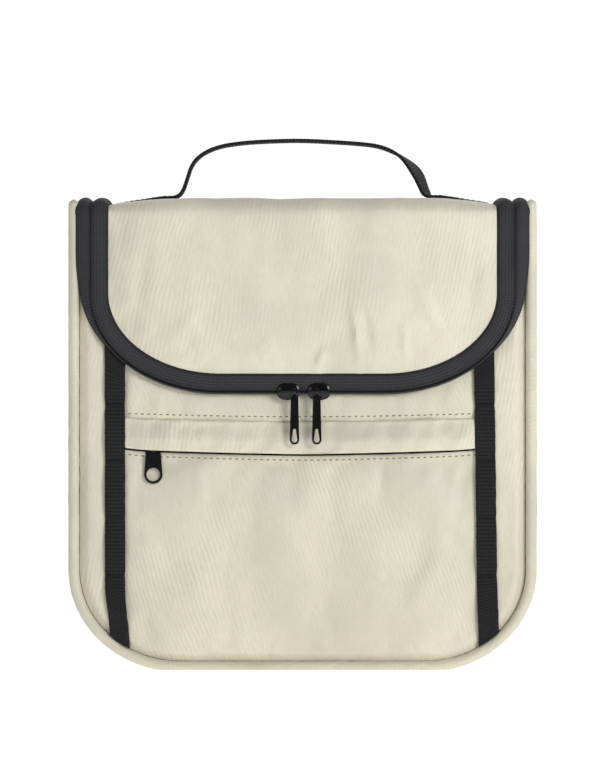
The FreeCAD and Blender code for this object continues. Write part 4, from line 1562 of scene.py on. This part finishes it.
@dataclass
class Strap:
    """The carrying strap over the lid."""

    size: Layout
    bend_height: float = 7.0 * MM
    width: float = 15.5 * MM
    thick: float = 1.5 * MM

    def route(self) -> Array:
        """The strap's centre line, from its left end to its right end, as rows of x and z."""
        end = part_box("right_handle_end")[1].x / MM
        left = [(-end, 240.2), (-87, 241.0), (-73, 242.3), (-66, 242.7), (-62.5, 244.8)]
        left += [(-60, 252), (-57.5, 260), (-52, 265.5), (-43, 269.3), (-30, 271.2)]
        arch = [(-15, 272.0), (0, 272.3), (16, 271.5), (30, 270.6)]
        right = [(41, 269.2), (51, 264.5), (59, 256.8), (63, 248.6), (65, 244.2)]
        right += [(69, 242.6), (76, 242.1), (87, 241.0)]
        points = [(x * MM, z * MM) for x, z in left + arch + right + [(end, 240.2)]]
        curve = bpy.data.curves.new("strap_line", "CURVE")
        curve.dimensions = "3D"
        spline = curve.splines.new("NURBS")
        spline.points.add(len(points) - 1)
        for point, (x, z) in zip(spline.points, points):
            point.co = (x, 0, z, 1)
        spline.order_u = 3
        spline.use_endpoint_u = True
        spline.resolution_u = 24
        holder = bpy.data.objects.new("strap_line", curve)
        mesh = bpy.data.meshes.new_from_object(holder)
        line = np.array([v.co for v in mesh.vertices])[:, [0, 2]]
        bpy.data.objects.remove(holder)
        return line

    def build(self, lid_cloth: bpy.types.Object) -> None:
        """Makes the strap, whose ends lie on the lid's cloth, and its sewing."""
        lid, line = surface_of(lid_cloth), self.route()
        half = self.width / 2
        strip = Sheet.strip("handle_strap", (0, run_of(line)[-1]), (-half, half), (1.8 * MM, 1.7 * MM))

        def place(flat: Array) -> Array:
            """Lays the strap on its line, with a slight twist in its right leg."""
            at, along = trace(line, flat[:, 0], 1 * MM)
            up = np.stack([-along[:, 1], along[:, 0]], 1)
            foot = blend_in(at[:, 1], self.size.top + 2 * MM, self.size.top + 6 * MM)
            twist = 0.33 * (1 - blend_in(at[:, 1], 255 * MM, 268 * MM)) * foot * (at[:, 0] > 0)
            across = flat[:, 1]
            edge = 0.25 * MM * (np.abs(across) / half) ** 6
            points = at + up * (flat[:, 2] + self.thick / 2 - edge + across * np.sin(twist))[:, None]
            x, y = points[:, 0], across * np.cos(twist)
            sewn = blend_in(np.abs(x), 63.5 * MM, 70 * MM)
            down = [lid.ray_cast(Vector((a, b, 0.4)), DOWN)[0].z for a, b in zip(x, y)]
            pressed = 0.75 * self.thick * blend_in(np.abs(x), 68 * MM, 90 * MM)
            lying = np.array(down) + self.thick + 0.1 * MM - edge + flat[:, 2] - pressed
            return np.stack([x, y, points[:, 1] + sewn * (lying - points[:, 1])], 1)

        obj = dress(strip.lay(place, self.thick), Finish.WEBBING)
        grip_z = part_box("handle_grip")[0].z
        start, end = (0, 0, grip_z - self.bend_height), (0, 0, grip_z + self.bend_height)
        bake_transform(obj)
        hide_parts("handle_grip", "left_handle_end", "right_handle_end")
        self.sew_ends(obj)

    def sew_ends(self, strap: bpy.types.Object) -> None:
        """A stitched rectangle with one diagonal at each end."""
        sewing = Stitching(length=2.0 * MM, gap=0.8 * MM, thickness=0.4 * MM)
        near, far, y = 69 * MM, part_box("right_handle_end")[1].x - 2 * MM, self.width / 2 - 1.8 * MM
        rows = []
        for side in (-1, 1):
            x0, x1 = side * near, side * far
            corners = [(x0, -y), (x1, -y), (x1, y), (x0, y), (x0, -y), (x1, y)]
            for ends in zip(corners, corners[1:]):
                path = np.array([[*end, self.size.top] for end in ends])
                rows.append(sewing.row("box_stitch", path, [strap], DOWN, Finish.THREAD))
        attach(joined("strap_stitches", rows), "lid_top")


# ---------------------------------------------------------------- hardware, stage and camera


def dress_hardware() -> None:
    """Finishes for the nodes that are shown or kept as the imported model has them."""
    finishes = {
        Finish.SLIDER: ["left_slider", "right_slider", "pocket_slider", "pocket_zip_stops"],
        Finish.PULL: ["left_pull", "right_pull", "pocket_pull"],
        Finish.FOAM: ["back_foam"],
        Finish.BOARD: ["base_board"],
    }
    for finish, names in finishes.items():
        for name in names:
            paint(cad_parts[name], finish)


def cap_sliders() -> None:
    """A domed oval face on each main slider, under its bridge."""
    power, half = 2.7, (5.9 * MM, 1.0 * MM, 4.4 * MM)
    for name in ("left", "right"):
        low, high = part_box(f"{name}_slider")
        middle = (low + high) / 2
        ball = {"segments": 40, "ring_count": 24, "radius": 1}
        cap = primitive(f"{name}_slider_cap", bpy.ops.mesh.primitive_uv_sphere_add, **ball)
        points = coordinates(cap)
        angle = np.arctan2(points[:, 2], points[:, 0])
        squared = (np.abs(np.cos(angle)) ** power + np.abs(np.sin(angle)) ** power) ** (-1 / power)
        shape = points * half * np.stack([squared, np.ones_like(squared), squared], 1)
        shape[:, 1] += 0.35 * MM * np.exp(-((points[:, 0] / 0.28) ** 2)) * (points[:, 1] < 0)
        move_points(cap, shape + [middle.x, low.y + 2.7 * MM, middle.z])
        smooth(cap, 60)
        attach(dress(cap, Finish.SLIDER), f"{name}_zip_slider")


def build_stage() -> None:
    """A pale floor that glows a little."""
    floor = primitive("floor", bpy.ops.mesh.primitive_plane_add, size=4, location=(0, 0, -0.2 * MM))
    bpy.ops.object.transform_apply(location=True)
    graph = Graph("pale_floor")
    at = Mapped.OBJECT.coordinates(graph)
    graph.bump(graph.speckle(at, 200.0), 0.1 * MM, 0.1)
    glow = {"Emission_Color": (1, 1, 1, 1), "Emission_Strength": 0.55}
    floor.data.materials.append(graph.finish(Base_Color=(0.93, 0.93, 0.93, 1), Roughness=0.9, **glow))


def add_light(name: str, place: Vector, size: float, power: float) -> None:
    """A square softbox that faces the bag's middle."""
    light = bpy.data.lights.new(name, "AREA")
    light.shape = "SQUARE"
    light.size = size
    light.energy = power
    holder = added(name, light)
    holder.location = place
    holder.rotation_euler = (Vector((0, 0, 0.13)) - place).to_track_quat("-Z", "Y").to_euler()


def build_lights() -> None:
    """Soft studio light: a strong box, a weak one, and a surround, dark in front and white behind."""
    world = bpy.data.worlds.new("studio")
    bpy.context.scene.world = world
    world.use_nodes = True
    tree = world.node_tree
    direction = tree.nodes.new("ShaderNodeTexCoord")
    parts = tree.nodes.new("ShaderNodeSeparateXYZ")
    ramp = tree.nodes.new("ShaderNodeMapRange")
    for name, value in {"From Min": -0.2, "From Max": 0.5, "To Min": 0.11, "To Max": 1.02}.items():
        ramp.inputs[name].default_value = value
    background = tree.nodes["Background"]
    background.inputs["Color"].default_value = (1, 1, 1, 1)
    tree.links.new(direction.outputs["Generated"], parts.inputs[0])
    tree.links.new(parts.outputs["Y"], ramp.inputs["Value"])
    tree.links.new(ramp.outputs["Result"], background.inputs["Strength"])
    add_light("key", Vector((1.3, -1.8, 0.8)), 0.8, 25.5)
    add_light("fill", Vector((-1.0, -2.1, 0.3)), 0.9, 3.5)
    bpy.context.scene.view_settings.view_transform = "Standard"


@dataclass(frozen=True)
class FrontView:
    """The camera: level with the bag's middle, far off, with a long lens."""

    distance: float = 2.5
    centre: tuple[float, float] = (-1.3 * MM, 145.0 * MM)
    height: float = 392.9 * MM
    sensor: float = 36.0

    def build(self, front_y: float) -> None:
        """Adds the camera so that its frame covers height at the bag's front."""
        camera = bpy.data.cameras.new("front_view")
        camera.sensor_width = self.sensor
        camera.lens = self.sensor * self.distance / self.height
        camera.clip_end = 20
        holder = added("front_view", camera)
        holder.location = (self.centre[0], front_y - self.distance, self.centre[1])
        holder.rotation_euler = (math.radians(90), 0, 0)
        bpy.context.scene.camera = holder


def main() -> None:
    """Builds the bag, its stage, lights and camera."""
    logging.basicConfig(level=logging.INFO, format="%(name)s: %(message)s")
    size = Layout.from_frame()
    FrontView().build(size.front_y)
    build_lights()
    build_stage()
    tub, lid, front = Tub(size), Lid(size), Front(size)
    for cut in (tub.cut_front, tub.cut_back, tub.cut_gusset, tub.cut_lining):
        cut()
    lid_cloth, lid_lining, placket = lid.cut_cloth(), lid.cut_lining(), front.placket()
    settle_all([sheet for sheet, _ in tub.sheets] + [lid_cloth, lid_lining, placket])
    for _, done in tub.sheets:
        done()
    tub.cut_bindings()
    tub.sew_piping()
    lid_obj = lid.lay_cloth(lid_cloth)
    lid.lay_lining(lid_lining)
    placket_cloth = dress(placket.lay(front.on_placket, 0.7 * MM), Finish.OUTER)
    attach(placket_cloth, "bag")
    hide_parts("pocket_placket")
    for sew in (lid.lid_tape, lid.tub_tape, lid.hinge_strip, lid.end_tabs, front.webbing, front.pocket_zip):
        sew()
    Strap(size).build(lid_obj)
    sew_front(size, tub, placket_cloth)
    dress_hardware()
    cap_sliders()


def sew_front(size: Layout, tub: Tub, placket: bpy.types.Object) -> None:
    """The two rows of stitching along the pocket's mouth."""
    x = np.linspace(-90 * MM, 90 * MM, 60)
    rows = (
        ("placket_stitches", size.seam(x) + 1.9 * MM, [tub.made["yoke_cloth"], placket]),
        ("pocket_stitches", size.mouth(x) - 2.2 * MM, [tub.made["pocket_face"]]),
    )
    for name, z, on in rows:
        path = np.stack([x, np.full_like(x, size.front_y), z], 1)
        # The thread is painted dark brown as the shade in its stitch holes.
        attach(Stitching().row(name, path, on, TO_BACK, Finish.CREAM_THREAD), "bag")


if __name__ == "__main__":
    main()
